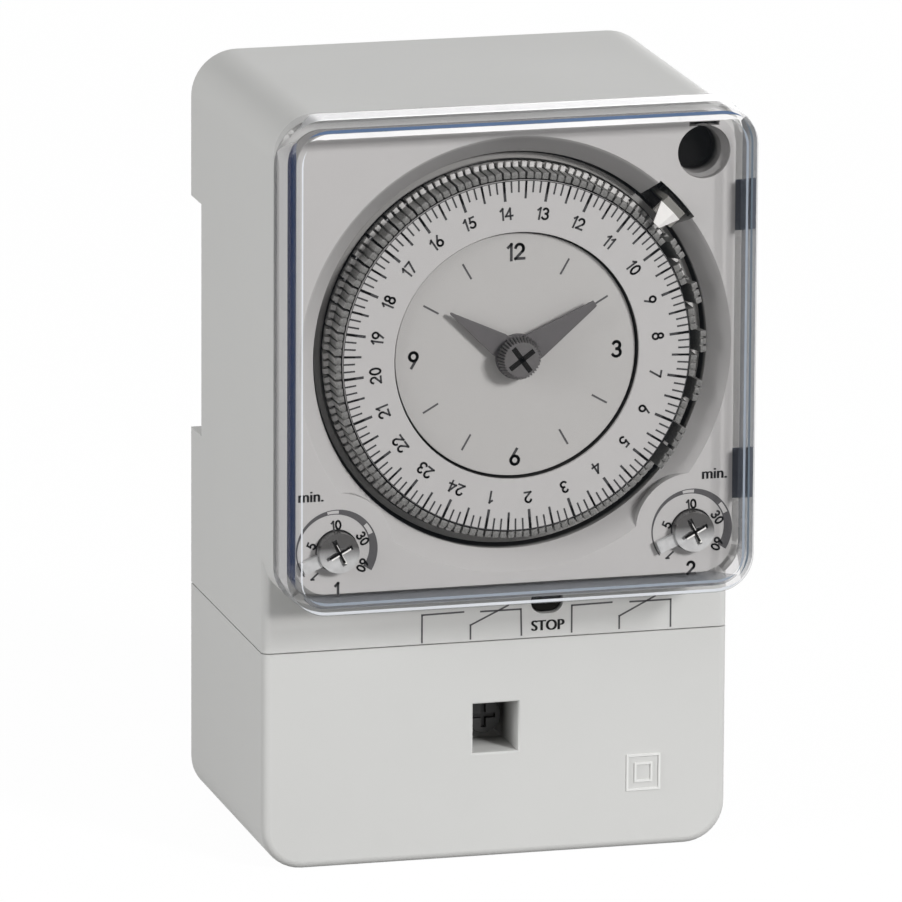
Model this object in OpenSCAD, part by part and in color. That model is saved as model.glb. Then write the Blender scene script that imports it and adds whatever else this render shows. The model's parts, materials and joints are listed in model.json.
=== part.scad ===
// Defrost timer switch: a 24 hour programme dial with tappets round a 12 hour clock,
// two delay trimmers, a clear lift-off cover and a separate terminal cover, for 35 mm rail.
// Millimetres. +X is to the right and -Y towards the viewer as the dial is read, +Z is up.

/* [Body] */
// Width of the housing
body_w = 72; // [71.5:0.5:80]
// Height of the housing, from the foot to its flat top
body_h = 116.3; // [115.5:0.1:122]
// Depth of the housing behind its front face
body_d = 45; // [44.5:0.5:52]
// Height of the strip between the terminal cover and the clear cover
strip_h = 8.9; // [8.2:0.1:9.4]
// How far the dial block stands forward of the front face
block_step = 6.3; // [5.8:0.1:7]
// Wall of the housing and of the terminal cover
wall = 2.2; // [1.8:0.1:2.4]
// Radius of the top corners
top_r = 7; // [5:0.5:9]
// Radius of the bottom corners
foot_r = 6.3; // [4:0.1:9]
// Gap between the housing and the terminal cover
seam = 0.2; // [0.2:0.05:0.5]

/* [Clear cover] */
// Height of the clear cover
cover_h = 74.6; // [73.5:0.1:76]
// Depth of the clear cover, rim to front
cover_d = 10.7; // [10.5:0.1:13]
// Wall of the clear cover
cover_wall = 1.6; // [1.2:0.1:1.8]
// Corner radius of the clear cover
cover_r = 6.2; // [5:0.1:8]
// Rounding of the clear cover's front edge
cover_edge_r = 2.5; // [1.5:0.1:3]
// Rise of the clear cover above the housing's top
cover_rise = 0.8; // [0.4:0.1:1.2]

/* [Dial] */
// Room for the tappets between the printed 24 hour ring and the well
tappet_room = 3.6; // [3.4:0.05:4.2]
// Width of the printed 24 hour ring
ring_w = 7.85; // [7:0.05:9]
// Radial thickness of a tappet's head
tappet_t = 0.95; // [0.8:0.05:1.05]
// Throw of a tappet that is set, at its head
tappet_throw = 1.5; // [1:0.05:1.6]
// Width left beside the well that the dial turns in
well_side = 5.8; // [5.4:0.1:6.4]
// Width of the conical dish round the well
dish_w = 2.9; // [1.6:0.1:3.1]
// Radius of the setting knob
knob_r = 3.45; // [2.8:0.05:4]
// Length of the hour hand
hour_hand_l = 12.5; // [9:0.1:16]
// Length of the minute hand
minute_hand_l = 13.9; // [10:0.1:17]

/* [Front plate] */
// Distance of each delay trimmer from the side of the housing
trimmer_side = 8.7; // [8.5:0.1:9.5]
// Height of the delay trimmers above the cover's lower edge
trimmer_up = 9.1; // [8.6:0.1:9.6]
// Radius of a delay knob
trimmer_r = 3.05; // [2.5:0.05:3.5]
// Radius of the round hole in the upper corner
corner_hole_r = 4.05; // [3:0.05:4.2]

/* [Rail channel] */
// Height of the channel that takes the 35 mm rail
channel_h = 36; // [35.4:0.1:38]
// Depth of the rail channel
channel_d = 6.5; // [6:0.1:8]
// How far the channel's middle lies below the middle of the dial
channel_drop = 3.8; // [0.8:0.1:7.8]
// Travel of the sprung rail foot
foot_travel = 4; // [3:0.1:4.5]

/* [Terminals] */
// Number of terminals
terminal_count = 8; // [4:1:8]
// Pitch of the terminals
terminal_pitch = 7.7; // [7.2:0.1:7.8]
// Radius of a wall screw hole
wall_hole_r = 2.25; // [1.5:0.05:2.6]
// Distance between the two wall screw holes
wall_hole_span = 52; // [44:1:54]

/* [Hidden] */
$fn = 64;
// Number of single tappets that turn, half an hour apart; every second one and the last are set
moving_tappets = 10;

// Clearances: a running fit, a sliding fit and the gap between wheels on one arbor
run_fit = 0.05;
slide_fit = 0.2;
run_gap = 0.5;
// Overshoot of a cut past the face that it opens
cut = 1;

// Front to back: the front face of the strip, the block's rim, the cover's front and the rear
overall_d = body_d + block_step + cover_d;
rear_y = overall_d / 2;
face_y = rear_y - body_d;
rim_y = face_y - block_step;
cover_front_y = -overall_d / 2;
cover_inner_y = cover_front_y + cover_wall;

// Clear cover from its lower to its upper edge, with the dial in its middle
cover_z1 = body_h + cover_rise;
cover_z0 = cover_z1 - cover_h;
dial_z = (cover_z0 + cover_z1) / 2;
split_z = cover_z0 - strip_h;
cover_draft = 0.4;
cover_gap = 0.9;
// Thickness of the thin slices that the cover's rounded shape is stretched over
slice_t = 0.1;
hook_h = 8;
hook_t = 0.5;
hook_dz = 20.8;

// Front plate: its place in the cover and the well that is moulded into it
plate_rise = 3.9;
plate_t = 1.8;
plate_y = rim_y - plate_rise;
plate_back_y = plate_y + plate_t;
plate_w = body_w - 2 * (cover_wall + cover_gap);
plate_h = cover_h - 2 * (cover_wall + cover_gap);
plate_r = cover_r - cover_wall;
plate_z0 = dial_z - plate_h / 2;
plate_z1 = dial_z + plate_h / 2;
// The dial fills the narrower way across the cover, which is a little taller than it is wide
cover_extra = 2.6;
well_r = min(body_w, cover_h - cover_extra) / 2 - well_side;
dish_r = well_r + dish_w;
dish_d = 3.1;
well_y = plate_y + 11.2;
floor_t = 1.2;
well_back_y = well_y + floor_t;
well_wall = 1.2;
lip_w = 1.7;
lip_t = 2.2;
pad_r = 8.7;
index_angle = 42.3;
slot_half_angle = 6.6;
slot_outer_r = well_r + 3.3;
corner_hole = [body_w / 2 - 7.35, plate_z1 - 5.5];
hole_slot = [4.6, 0.65];
hole_slot_gap = 0.2;
window_d = 2.9;
skirt_t = 1.6;

// Dial: the ring's face stands a little proud of the plate
ring_gap = 0.35;
ring_r = well_r - tappet_room;
clock_r = ring_r - ring_w - ring_gap;
ring_proud = 0.6;
ring_y = plate_y - ring_proud;
ring_t = 1.2;
clock_y = ring_y + 1;
clock_t = 1;
web_y = clock_y + clock_t + 0.8;
web_t = 1;
drum_r = ring_r - 0.6;
drum_t = 1.2;

// Tappets: a grooved head, with teeth behind it, on a lever that turns on a wire round the dial
tappet_count = 48;
tappet_pitch = 360 / tappet_count;
tappet_gap = 0.3;
tappet_neck_t = 1;
tappet_y = ring_y + 0.2;
tappet_in_r = ring_r + 0.2;
tappet_w = tappet_in_r * tappet_pitch * PI / 180 - tappet_gap;
head_l = 4.1;
rib_count = 3;
rib_gap = 0.3;
rib_d = 0.3;
tooth_w = 0.75;
tooth_in = 3.7;
tooth_t = 0.9;
tooth_l = 0.8;
wire_r = 0.45;
eye_r = 0.95;
eye_bore_r = wire_r + 0.1;
pivot_r = tappet_in_r + 0.45;
pivot_y = tappet_y + 6;
tappet_tilt = asin(tappet_throw / (pivot_y - tappet_y));
flange_y = pivot_y + eye_r + 0.25;
flange_t = 1;
flange_r = well_r - 0.5;
flange_rim_t = 0.9;
flange_rim_y = flange_y - 2;
// Polar angle of 14 o'clock on the ring, and the hour at the middle of the first moving tappet
ring_14_angle = 94.8;
first_tappet_hour = 9.75;

// Wheel train, from the well's floor to the back
wheel_t = 1.2;
frame_t = 1.2;
program_y = well_back_y + run_gap;
bridge_y = program_y + wheel_t + run_gap;
hour_low_y = bridge_y + frame_t + run_gap;
hour_high_y = hour_low_y + wheel_t + run_gap;
motion_y = hour_high_y + wheel_t + run_gap;
front_frame_y = motion_y + wheel_t + run_gap;
centre_y = front_frame_y + frame_t + run_gap;
rear_frame_y = centre_y + wheel_t + run_gap;
motor_y = rear_frame_y + frame_t;
// Tooth outline: heights from the pitch circle in modules, and places along it in pitches
tooth_form = [[-1.15, -0.3], [0, -0.2], [0.85, -0.08], [0.85, 0.08], [0, 0.2], [-1.15, 0.3]];
// Tooth counts and modules
cannon_n = 12;
motion_n = 36;
motion_pinion_n = 10;
hour_n = 40;
hour_gear_n = 30;
idler_n = 30;
idler_pinion_n = 20;
program_n = 40;
centre_n = 60;
motor_n = 12;
train_m = 0.5;
motion_c = train_m * (cannon_n + motion_n) / 2;
hour_m = 2 * motion_c / (motion_pinion_n + hour_n);
idler_c = train_m * (hour_gear_n + idler_n) / 2;
program_m = 2 * idler_c / (idler_pinion_n + program_n);
motor_c = train_m * (centre_n + motor_n) / 2;
// Arbors, pipes and pins
arbor_r = 0.75;
hour_pipe_r = 1.4;
stem_r = 2.3;
hub_r = 3.6;
pin_r = 0.8;
boss_r = 1.6;
motor_d = 12;
motor_bore_l = 2;
end_play = 0.2;

// Cross recesses in screw heads and knobs
recess_w = 0.7;
recess_d = 0.9;

// Hands and knob, in front of the clock dial
hand_t = 0.4;
hour_hand_y = clock_y - 1.4;
minute_hand_y = hour_hand_y - 0.7;
knob_y = minute_hand_y - 1.7;
knob_socket_y = knob_y + recess_d + 0.1;
knob_ribs = 38;
knob_rib_d = 0.45;
knob_cross_angle = 36;
hour_hand_w = 3.6;
hour_tip_w = 0.3;
hour_angle = 145.5;
minute_hand_w = 4.3;
minute_tip_w = 1;
minute_angle = 33;

// Movement frame and its posts
frame_w = 44;
frame_low = 14;
frame_gap = 1.3;
frame_high = body_h - wall - frame_gap - dial_z;
motor_gap = 0.5;
motor_r = frame_high - motor_c - motor_gap;
bridge_high = 15;
post_r = 2;
post_foot_r = 2.6;
post_x = 19.5;
post_low = 11.3;
post_high = 12.2;
pillar_high = frame_high - 3;
pillar_r = 1.8;

// Switch lever: it turns on a pin behind the plate and reaches through the slot in the dish
lever_pivot = [body_w / 2 - 6.5, dial_z + 15.4];
lever_stem_r = well_r + 1.9;
lever_stem_t = 0.8;
lever_stem_w = 3.8;
lever_bar_w = 1.8;
lever_y = rim_y + 2.5;
lever_t = 1.6;
lever_tail_y = well_back_y - 0.2;
tongue_y = plate_y - 1.7;
tongue_t = 0.9;
tongue_l = 2.7;
pointer_t = 0.6;
pointer_l = 3.2;
pointer_w = 4.2;
pointer_tip_w = 1.2;
switch_size = [12, 5.8, 6.5];
switch_n = 2.2;
switch_x = -9;
seat_w = 4;
seat_t = 2.4;
switch_y = lever_tail_y - 3.6;
button_r = 0.9;
button_gap = 0.1;
button_l = 2.6;
button_bore_l = 2;

// Control board with its relays, trimmers and stop switch
board_t = 1.6;
board_y = face_y + 8;
board_w = body_w - 10;
board_z0 = split_z + 2.6;
board_z1 = cover_z0 + 15.5;
board_post = [body_w / 2 - 14.7, board_z1 - 5];
board_post_r = 1.8;
board_screw_r = 1;
board_head_r = 1.6;
board_head_t = 1.2;
board_screw_l = 5;
relay_size = [28, 15.7, 12.7];
relay_x = 2;
relay_z = board_z0 + 1.8;
capacitor_size = [24, 12, 6];
trimmer_x = body_w / 2 - trimmer_side;
trimmer_z = cover_z0 + trimmer_up;
trimmer_box = 7;
trimmer_box_l = 11.5;
trimmer_stem_r = 1.5;
trimmer_stem_l = 3;
knob_proud = 1.8;
knob_arm_sink = 0.5;
knob_arm_l = 5.9;
knob_arm_w = 1.9;
knob_arm_t = 0.9;
knob_arm_angle = 203;
stop_x = 7.85;
stop_w = 5;
stop_h = 4;
stop_z = split_z + 3.7;
stop_r = 1.9;
stop_sink = 0.6;
stop_back_y = face_y + wall + 1.8;
stop_travel = 1.2;
stop_flange = 0.9;
stop_flange_t = 0.8;
stop_switch_size = [6, 5.5];

// Base plate, rail channel and sprung foot
base_t = 2.5;
base_y = rear_y - base_t;
base_w = body_w - 2 * (wall + slide_fit);
base_z0 = wall + 0.1;
base_z1 = body_h - wall - slide_fit;
channel_y = rear_y - channel_d;
channel_z0 = dial_z - channel_drop - channel_h / 2;
channel_z1 = channel_z0 + channel_h;
trough_y = channel_y - base_t;
stand_w = 16;
hook_reach = 2;
hook_w = 12;
hook_x = 14;
rail_t = 1.5;
foot_w = 24;
foot_t = 2.1;
foot_y = base_y - slide_fit - foot_t;
foot_z0 = channel_z0 - 27.9;
grip_w = 8;
grip_h = 4;
grip_up = 2;
guide_t = 1.2;
guide_l = 14;
ledge_t = 1.5;
ledge_w = 8;
spring_l = 11;
spring_r = 1.35;
spring_wire_r = 0.25;
spring_turns = 8;
spring_end_gap = 0.01;
spring_z0 = foot_z0 - spring_l;
spring_y = base_y - slide_fit - spring_r - spring_wire_r;
boss_out_r = 3;
boss_bite = 0.3;
boss_x = body_w / 2 - wall - boss_out_r + boss_bite;
boss_z = [split_z + 8, body_h - wall - 4.5];
boss_ps = [for (side = [-1, 1]) for (z = boss_z) [side * boss_x, z]];
boss_l = 14;
screw_r = 1.1;
screw_hole_r = 1.4;
screw_head_r = 2;
screw_head_t = 1.2;
wall_hole_z = 8;

// Terminal block and cover
block_y = face_y + 12;
block_l = 24;
block_w = body_w - 2 * wall - 5;
block_z0 = split_z - 17.6;
block_z1 = split_z - 0.6;
rib_w = 2;
rib_x = 25;
pocket_w = 6;
pocket_h = 8.6;
pocket_d = 19;
pocket_z = block_z1 - 1.7 - pocket_h / 2;
clamp = [5.6, 9, 8];
clamp_y = block_y + pocket_d - clamp[1];
wire_y = clamp_y + clamp[1] / 2;
wire_hole_r = 2.2;
clamp_bore_r = 1.8;
clamp_screw_r = 1.4;
clamp_head_r = 2.3;
clamp_head_t = 2;
clamp_slot_w = 0.9;
clamp_grip_l = 2.2;
strip_w = 3;
strip_t = 0.8;
strip_y = wire_y + 1.5;
strip_z = board_z0 + 0.2;
cover_split_z = split_z - seam / 2;
tunnel = [7, 7.6];
tunnel_z = 20.1;
tunnel_l = 9;
tunnel_wall = 1.2;
captive_r = 1.5;
captive_head_r = 2.6;
captive_head_t = 2;
captive_l = 12;
cable_w = 14;
cable_x = 12;
cable_l = 17;
first_terminal_x = -terminal_pitch * (terminal_count - 1) / 2;
terminal_xs = [for (i = [0:terminal_count - 1]) first_terminal_x + i * terminal_pitch];

// Point in the dial's plane at a radius and polar angle round the dial's axis, as [x, z]
function on_dial(r, a) = [r * cos(a), dial_z + r * sin(a)];
// Polar angle of an hour on the 24 hour ring
function ring_angle(hour) = ring_14_angle + (hour - 14) * 15;
// Polar angle of the middle of moving tappet i
function tappet_angle(i) = ring_angle(first_tappet_hour) - (i - 1) * tappet_pitch;
// Whether moving tappet i is set, that is, tilted outwards
function is_set(i) = i % 2 == 1 || i == moving_tappets;
// Outline of a wheel with straight-flanked teeth, thinned for backlash
function wheel_points(n, m, start = 0) = [
    for (k = [0:n - 1])
        for (q = tooth_form)
            let (a = (k + q[1] + start) * 360 / n)
                m * (n / 2 + q[0]) * [cos(a), sin(a)]];
// Point of a turned profile at a radius and a depth
function at(r, y) = [r, -y];

// A flat outline in X and Z, given depth from y0 to y1
module along_y(y0, y1) {
    translate([0, y1, 0]) rotate([90, 0, 0]) linear_extrude(y1 - y0) children();
}

// A round rod along Y at p = [x, z]
module rod(p, r, y0, y1) {
    translate([p[0], y1, p[1]]) rotate([90, 0, 0]) cylinder(r = r, h = y1 - y0);
}

// A profile of at() points turned round an axis along Y at p = [x, z]
module turned(points, p = [0, dial_z]) {
    translate([p[0], 0, p[1]]) rotate([90, 0, 0]) rotate_extrude() polygon(points);
}

// A pipe along Y at p = [x, z]
module pipe(r, bore_r, y0, y1, p = [0, dial_z]) {
    turned([at(bore_r, y0), at(r, y0), at(r, y1), at(bore_r, y1)], p);
}

// A block from its lowest corner to its highest
module block(low, high) {
    translate(low) cube(high - low);
}

// Two round corners at height z, with the strip between them
module corners(w, z, r) if (r > 0) {
    translate([r - w / 2, z - r]) square([w - 2 * r, 2 * r]);
    for (side = [-1, 1]) translate([side * (w / 2 - r), z]) circle(r);
}

// A rectangle from z0 to z1 with rounded upper and lower corners
module rounded(w, z0, z1, r_up, r_low = 0) {
    translate([-w / 2, z0 + r_low]) square([w, z1 - z0 - r_low - r_up]);
    corners(w, z1 - r_up, r_up);
    corners(w, z0 + r_low, r_low);
}

// The front plate's outline, drawn in by an inset
module plate_outline(inset = 0) {
    r = plate_r - inset;
    rounded(plate_w - 2 * inset, plate_z0 + inset, plate_z1 - inset, r, r);
}

// A toothed wheel with a bore, at p = [x, z]
module wheel(p, n, m, y0, bore_r, start = 0) {
    along_y(y0, y0 + wheel_t) translate(p) difference() {
        polygon(wheel_points(n, m, start));
        circle(bore_r);
    }
}

// A cross recess in a screw head or knob that faces -Y, at p = [x, z]
module cross(p, l, y0, y1, angle = 0) {
    along_y(y0, y1) translate(p) rotate(angle) {
        square([l, recess_w], center = true);
        square([recess_w, l], center = true);
    }
}

// The lever's own axes: X along the dial's tangent, Z outwards, at the stem
module at_lever() {
    p = on_dial(lever_stem_r, index_angle);
    translate([p[0], 0, p[1]]) rotate([0, 90 - index_angle, 0]) children();
}

// Housing: a shell, open behind, whose dial block steps forward under the clear cover
module housing() color("gainsboro") difference() {
    union() {
        difference() {
            union() {
                along_y(face_y, rear_y) rounded(body_w, split_z + seam / 2, body_h, top_r);
                along_y(rim_y, face_y) rounded(body_w, cover_z0, body_h, top_r, cover_r);
            }
            along_y(face_y + wall, rear_y + cut)
                rounded(body_w - 2 * wall, split_z - cut, body_h - wall, top_r - wall);
            along_y(rim_y + lip_t, face_y + wall + cut)
                rounded(body_w - 2 * wall, cover_z0 + wall, body_h - wall, top_r - wall, cover_r - wall);
            along_y(rim_y - cut, rim_y + lip_t + cut) plate_outline(lip_w);
        }
        for (p = boss_ps) rod(p, boss_out_r, base_y - boss_l, base_y);
    }
    for (p = boss_ps) rod(p, screw_r, base_y - boss_l - cut, base_y + cut);
    block([-body_w, channel_y, channel_z0], [body_w, rear_y + cut, channel_z1]);
    along_y(face_y - cut, face_y + wall + cut) translate([stop_x, 0])
        rounded(stop_w, stop_z, stop_z + stop_h, stop_r, stop_r);
}

// Base plate: closes the housing behind, with the rail channel and the foot's guides
module base_plate() color("silver") difference() {
    union() {
        along_y(base_y, rear_y)
            rounded(base_w, base_z0, base_z1, top_r - wall - slide_fit, foot_r - wall - slide_fit);
        block([-stand_w / 2, base_y, 0], [stand_w / 2, rear_y, base_z0]);
        block([-base_w / 2, trough_y, channel_z0 - base_t], [base_w / 2, base_y, channel_z1 + base_t]);
        for (side = [-1, 1]) {
            translate([side * (foot_w / 2 + slide_fit + guide_t / 2), 0, channel_z0 - base_t - guide_l])
                block([-guide_t / 2, foot_y - slide_fit - guide_t, 0], [guide_t / 2, base_y, guide_l]);
            translate([side * (foot_w / 2 - guide_t / 2 + slide_fit), 0, channel_z0 - base_t - guide_l])
                block([-guide_t / 2, foot_y - slide_fit - guide_t, 0],
                      [guide_t / 2, foot_y - slide_fit, guide_l]);
            translate([side * rib_x, 0, 0])
                block([-rib_w / 2, block_y + block_l, block_z0 + rib_w],
                      [rib_w / 2, base_y, block_z1 - rib_w]);
        }
        block([-ledge_w / 2, foot_y - guide_t, spring_z0 - ledge_t], [ledge_w / 2, base_y, spring_z0]);
    }
    difference() {
        block([-body_w, channel_y, channel_z0], [body_w, rear_y + cut, channel_z1]);
        for (side = [-1, 1]) translate([side * (hook_x + hook_w / 2), 0, channel_z1 - hook_reach])
            block([-hook_w / 2, channel_y + rail_t, 0],
                  [hook_w / 2, channel_y + 2 * rail_t, hook_reach + cut]);
    }
    block([-foot_w / 2 - slide_fit, foot_y - slide_fit, channel_z0 - base_t - cut],
          [foot_w / 2 + slide_fit, base_y, channel_z0 + cut]);
    block([-grip_w / 2 - slide_fit, base_y - cut, foot_z0 + grip_up - foot_travel - 2 * slide_fit],
          [grip_w / 2 + slide_fit, rear_y + cut, foot_z0 + grip_up + grip_h + slide_fit]);
    for (p = boss_ps) {
        rod(p, screw_hole_r, base_y - cut, rear_y + cut);
        rod(p, screw_head_r + slide_fit, rear_y - screw_head_t, rear_y + cut);
    }
    for (side = [-1, 1])
        rod([side * wall_hole_span / 2, wall_hole_z], wall_hole_r, base_y - cut, rear_y + cut);
}

// Four screws that hold the base plate in the housing
module housing_screws() color("dimgray") for (p = boss_ps) difference() {
    union() {
        rod(p, screw_r, base_y - boss_l + cut, rear_y - screw_head_t);
        rod(p, screw_head_r, rear_y - screw_head_t, rear_y - slide_fit);
    }
    cross(p, 1.4 * screw_head_r, rear_y - screw_head_t / 2, rear_y + cut);
}

// Front plate: the dial's surround, with its dish, well, openings and the posts behind it
module front_plate() color("lightgray") difference() {
    union() {
        difference() {
            union() {
                along_y(plate_y, plate_back_y) plate_outline();
                along_y(plate_back_y, rim_y) difference() {
                    plate_outline();
                    plate_outline(skirt_t);
                }
                rod([0, dial_z], dish_r - slide_fit, plate_y, rim_y);
                rod([0, dial_z], well_r + well_wall, plate_y, well_back_y);
            }
            turned([at(0, plate_y - cut), at(dish_r, plate_y - cut), at(dish_r, plate_y),
                    at(well_r, plate_y + dish_d), at(well_r, well_y), at(0, well_y)]);
        }
        for (side = [-1, 1]) {
            intersection() {
                rod([side * trimmer_x, trimmer_z], pad_r, plate_y, plate_back_y);
                along_y(plate_y, plate_back_y) plate_outline();
            }
            rod([side * board_post[0], board_post[1]], board_post_r, plate_back_y - floor_t / 2, board_y);
            for (z = [dial_z - post_low, dial_z + post_high]) {
                rod([side * post_x, z], post_foot_r, well_y, bridge_y);
                rod([side * post_x, z], post_r, well_y, front_frame_y);
            }
        }
        rod(lever_pivot, boss_r, plate_back_y - slide_fit, lever_y - run_gap);
        at_lever()
            block([switch_x, plate_back_y - slide_fit, switch_n],
                  [switch_x + seat_w, switch_y, switch_n + seat_t]);
    }
    rod([0, dial_z], hub_r + run_gap, well_y - cut, well_back_y + cut);
    for (side = [-1, 1]) {
        rod([side * trimmer_x, trimmer_z], trimmer_r + slide_fit, plate_y - cut, plate_back_y + cut);
        translate([0, board_y, 0])
            rod([side * board_post[0], board_post[1]], board_screw_r, -board_screw_l - cut, cut);
        for (dz = [-hook_dz, hook_dz]) translate([side * plate_w / 2, 0, dial_z + dz])
            block([-skirt_t, rim_y - window_d, -hook_h / 2], [skirt_t, rim_y, hook_h / 2]);
    }
    rod(lever_pivot, pin_r, plate_back_y, lever_y);
    rod(corner_hole, corner_hole_r, plate_y - cut, plate_back_y + cut);
    along_y(plate_y - cut, plate_back_y + cut)
        translate(corner_hole + [0, corner_hole_r + hole_slot_gap]) square(hole_slot, center = true);
    along_y(plate_y - cut, rim_y + cut) intersection() {
        translate([0, dial_z]) difference() {
            circle(slot_outer_r);
            circle(well_r);
        }
        polygon([on_dial(0, 0), on_dial(2 * dish_r, index_angle - slot_half_angle),
                 on_dial(2 * dish_r, index_angle + slot_half_angle)]);
    }
}

// Rounded box that narrows towards the front, for the outside and the inside of the clear cover
module cover_shape(inset, edge_r, front) {
    r = cover_r - inset;
    hull() {
        along_y(rim_y, rim_y + slice_t)
            rounded(body_w - 2 * inset, cover_z0 + inset, cover_z1 - inset, r, r);
        for (a = [0:15:90])
            let (s = inset + cover_draft + edge_r * (1 - cos(a)), y = front + edge_r * (1 - sin(a)))
                along_y(y, y + slice_t) rounded(body_w - 2 * s, cover_z0 + s, cover_z1 - s, r, r);
    }
}

// Clear cover: a thin cap with four small hooks inside its side walls
module clear_cover() color("aliceblue", 0.4) intersection() {
    union() {
        difference() {
            cover_shape(0, cover_edge_r, cover_front_y, $fn = 32);
            cover_shape(cover_wall, cover_edge_r - cover_wall / 2, cover_inner_y, $fn = 32);
        }
        for (side = [-1, 1]) for (dz = [-hook_dz, hook_dz])
            translate([side * (body_w / 2 - cover_wall), 0, dial_z + dz])
                block([-hook_t, rim_y - window_d + slide_fit, -hook_h / 2 + slide_fit],
                      [hook_t, rim_y - slide_fit, hook_h / 2 - slide_fit]);
    }
    block([-body_w, cover_front_y - cut, 0], [body_w, rim_y, 2 * body_h]);
}

// Terminal cover: a hood over the terminals, with a square way in to its screw
module terminal_cover() color("whitesmoke") difference() {
    union() {
        difference() {
            along_y(face_y, rear_y) rounded(body_w, 0, cover_split_z, 0, foot_r);
            along_y(face_y + wall, rear_y + cut)
                rounded(body_w - 2 * wall, wall, cover_split_z + cut, 0, foot_r - wall);
        }
        along_y(face_y, face_y + tunnel_l + tunnel_wall) translate([0, tunnel_z])
            square(tunnel + 2 * [tunnel_wall, tunnel_wall], center = true);
    }
    along_y(face_y - cut, face_y + tunnel_l) translate([0, tunnel_z]) square(tunnel, center = true);
    rod([0, tunnel_z], captive_r + slide_fit, face_y, face_y + tunnel_l + tunnel_wall + cut);
    block([-stand_w / 2 - slide_fit, base_y - slide_fit, -cut],
          [stand_w / 2 + slide_fit, rear_y + cut, base_z0]);
    for (side = [-1, 1]) translate([side * (cable_x + cable_w / 2), rear_y - cable_l, 0])
        block([-cable_w / 2, 0, -cut], [cable_w / 2, cable_l + cut, base_z0]);
}

// Captive screw of the terminal cover
module terminal_cover_screw() color("silver") difference() {
    union() {
        rod([0, tunnel_z], captive_head_r, face_y + tunnel_l - captive_head_t, face_y + tunnel_l);
        rod([0, tunnel_z], captive_r, face_y + tunnel_l, face_y + tunnel_l + captive_l);
    }
    cross([0, tunnel_z], 1.4 * captive_head_r, face_y, face_y + tunnel_l - captive_head_t + recess_d);
}

// Terminal block: pockets for the clamps, open in front, with a wire hole below each
module terminal_block() color("darkgray") difference() {
    block([-block_w / 2, block_y, block_z0], [block_w / 2, block_y + block_l, block_z1]);
    for (x = terminal_xs) {
        translate([x, block_y, pocket_z])
            block([-pocket_w / 2, -cut, -pocket_h / 2], [pocket_w / 2, pocket_d, pocket_h / 2]);
        translate([x, wire_y, block_z0 - cut]) cylinder(r = wire_hole_r, h = pocket_z - block_z0 + cut);
        translate([x, strip_y, pocket_z]) block([-strip_w / 2 - slide_fit, -slide_fit, 0],
                                                [strip_w / 2 + slide_fit, strip_t + slide_fit, block_z1]);
    }
    rod([0, tunnel_z], captive_r + run_fit, block_y - cut, face_y + tunnel_l + captive_l + cut);
}

// Clamps: brass blocks with a wire bore and a screw hole
module terminal_clamps() color("goldenrod") for (x = terminal_xs) difference() {
    translate([x, clamp_y, pocket_z])
        block([-clamp[0] / 2, 0, -clamp[2] / 2], [clamp[0] / 2, clamp[1], clamp[2] / 2]);
    translate([x, wire_y, pocket_z - clamp[2]]) cylinder(r = clamp_bore_r, h = 2 * clamp[2] - clamp_bore_r);
    rod([x, pocket_z], clamp_screw_r + run_fit, clamp_y - cut, wire_y);
}

// Terminal screws, slotted, that reach into the clamps
module terminal_screws() color("silver") for (x = terminal_xs) difference() {
    union() {
        rod([x, pocket_z], clamp_head_r, block_y + cut, block_y + cut + clamp_head_t);
        rod([x, pocket_z], clamp_screw_r, block_y + cut + clamp_head_t, clamp_y + clamp_grip_l);
    }
    translate([x, block_y, pocket_z])
        block([-clamp_head_r, 0, -clamp_slot_w / 2], [clamp_head_r, cut + recess_d, clamp_slot_w / 2]);
}

// Strips from the clamps up and forward to the control board
module terminal_strips() color("peru") for (x = terminal_xs) translate([x, 0, 0]) {
    block([-strip_w / 2, strip_y, pocket_z + clamp[2] / 2],
          [strip_w / 2, strip_y + strip_t, strip_z + strip_t]);
    block([-strip_w / 2, board_y + board_t, strip_z],
          [strip_w / 2, strip_y + strip_t, strip_z + strip_t]);
}

// Rail foot: slides down to free the rail and has a grip that is reached from behind
module rail_foot() color("gray") {
    block([-foot_w / 2, foot_y, foot_z0], [foot_w / 2, foot_y + foot_t, channel_z0 + hook_reach]);
    translate([0, foot_y + foot_t, foot_z0 + grip_up])
        block([-grip_w / 2, 0, 0], [grip_w / 2, base_t - slide_fit, grip_h]);
}

// Coil spring under the rail foot
module rail_foot_spring() color("silver") {
    sides = 6;
    turn_rings = 8;
    rings = spring_turns * turn_rings;
    low_z = spring_z0 + spring_end_gap + spring_wire_r;
    rise = spring_l - 2 * (spring_end_gap + spring_wire_r);
    points = [
        for (i = [0:rings])
            for (k = [0:sides - 1])
                let (a = i * 360 / turn_rings, b = k * 360 / sides)
                    let (r = spring_r + spring_wire_r * cos(b), up = spring_wire_r * sin(b))
                        [r * cos(a), spring_y + r * sin(a), low_z + rise * i / rings + up]];
    skin = [
        for (i = [0:rings - 1])
            for (k = [0:sides - 1])
                let (n = (k + 1) % sides, low = i * sides, up = low + sides)
                    each [[low + k, up + k, up + n], [low + k, up + n, low + n]]];
    start_cap = [for (k = [1:sides - 2]) [0, k, k + 1]];
    end_cap = [for (k = [1:sides - 2]) [0, k + 1, k] + rings * sides * [1, 1, 1]];
    polyhedron(points, concat(skin, start_cap, end_cap));
}

// Control board, on two posts of the front plate
module control_board() color("darkgreen") difference() {
    block([-board_w / 2, board_y, board_z0], [board_w / 2, board_y + board_t, board_z1]);
    for (side = [-1, 1])
        rod([side * board_post[0], board_post[1]], board_screw_r, board_y - cut, board_y + board_t + cut);
}

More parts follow.
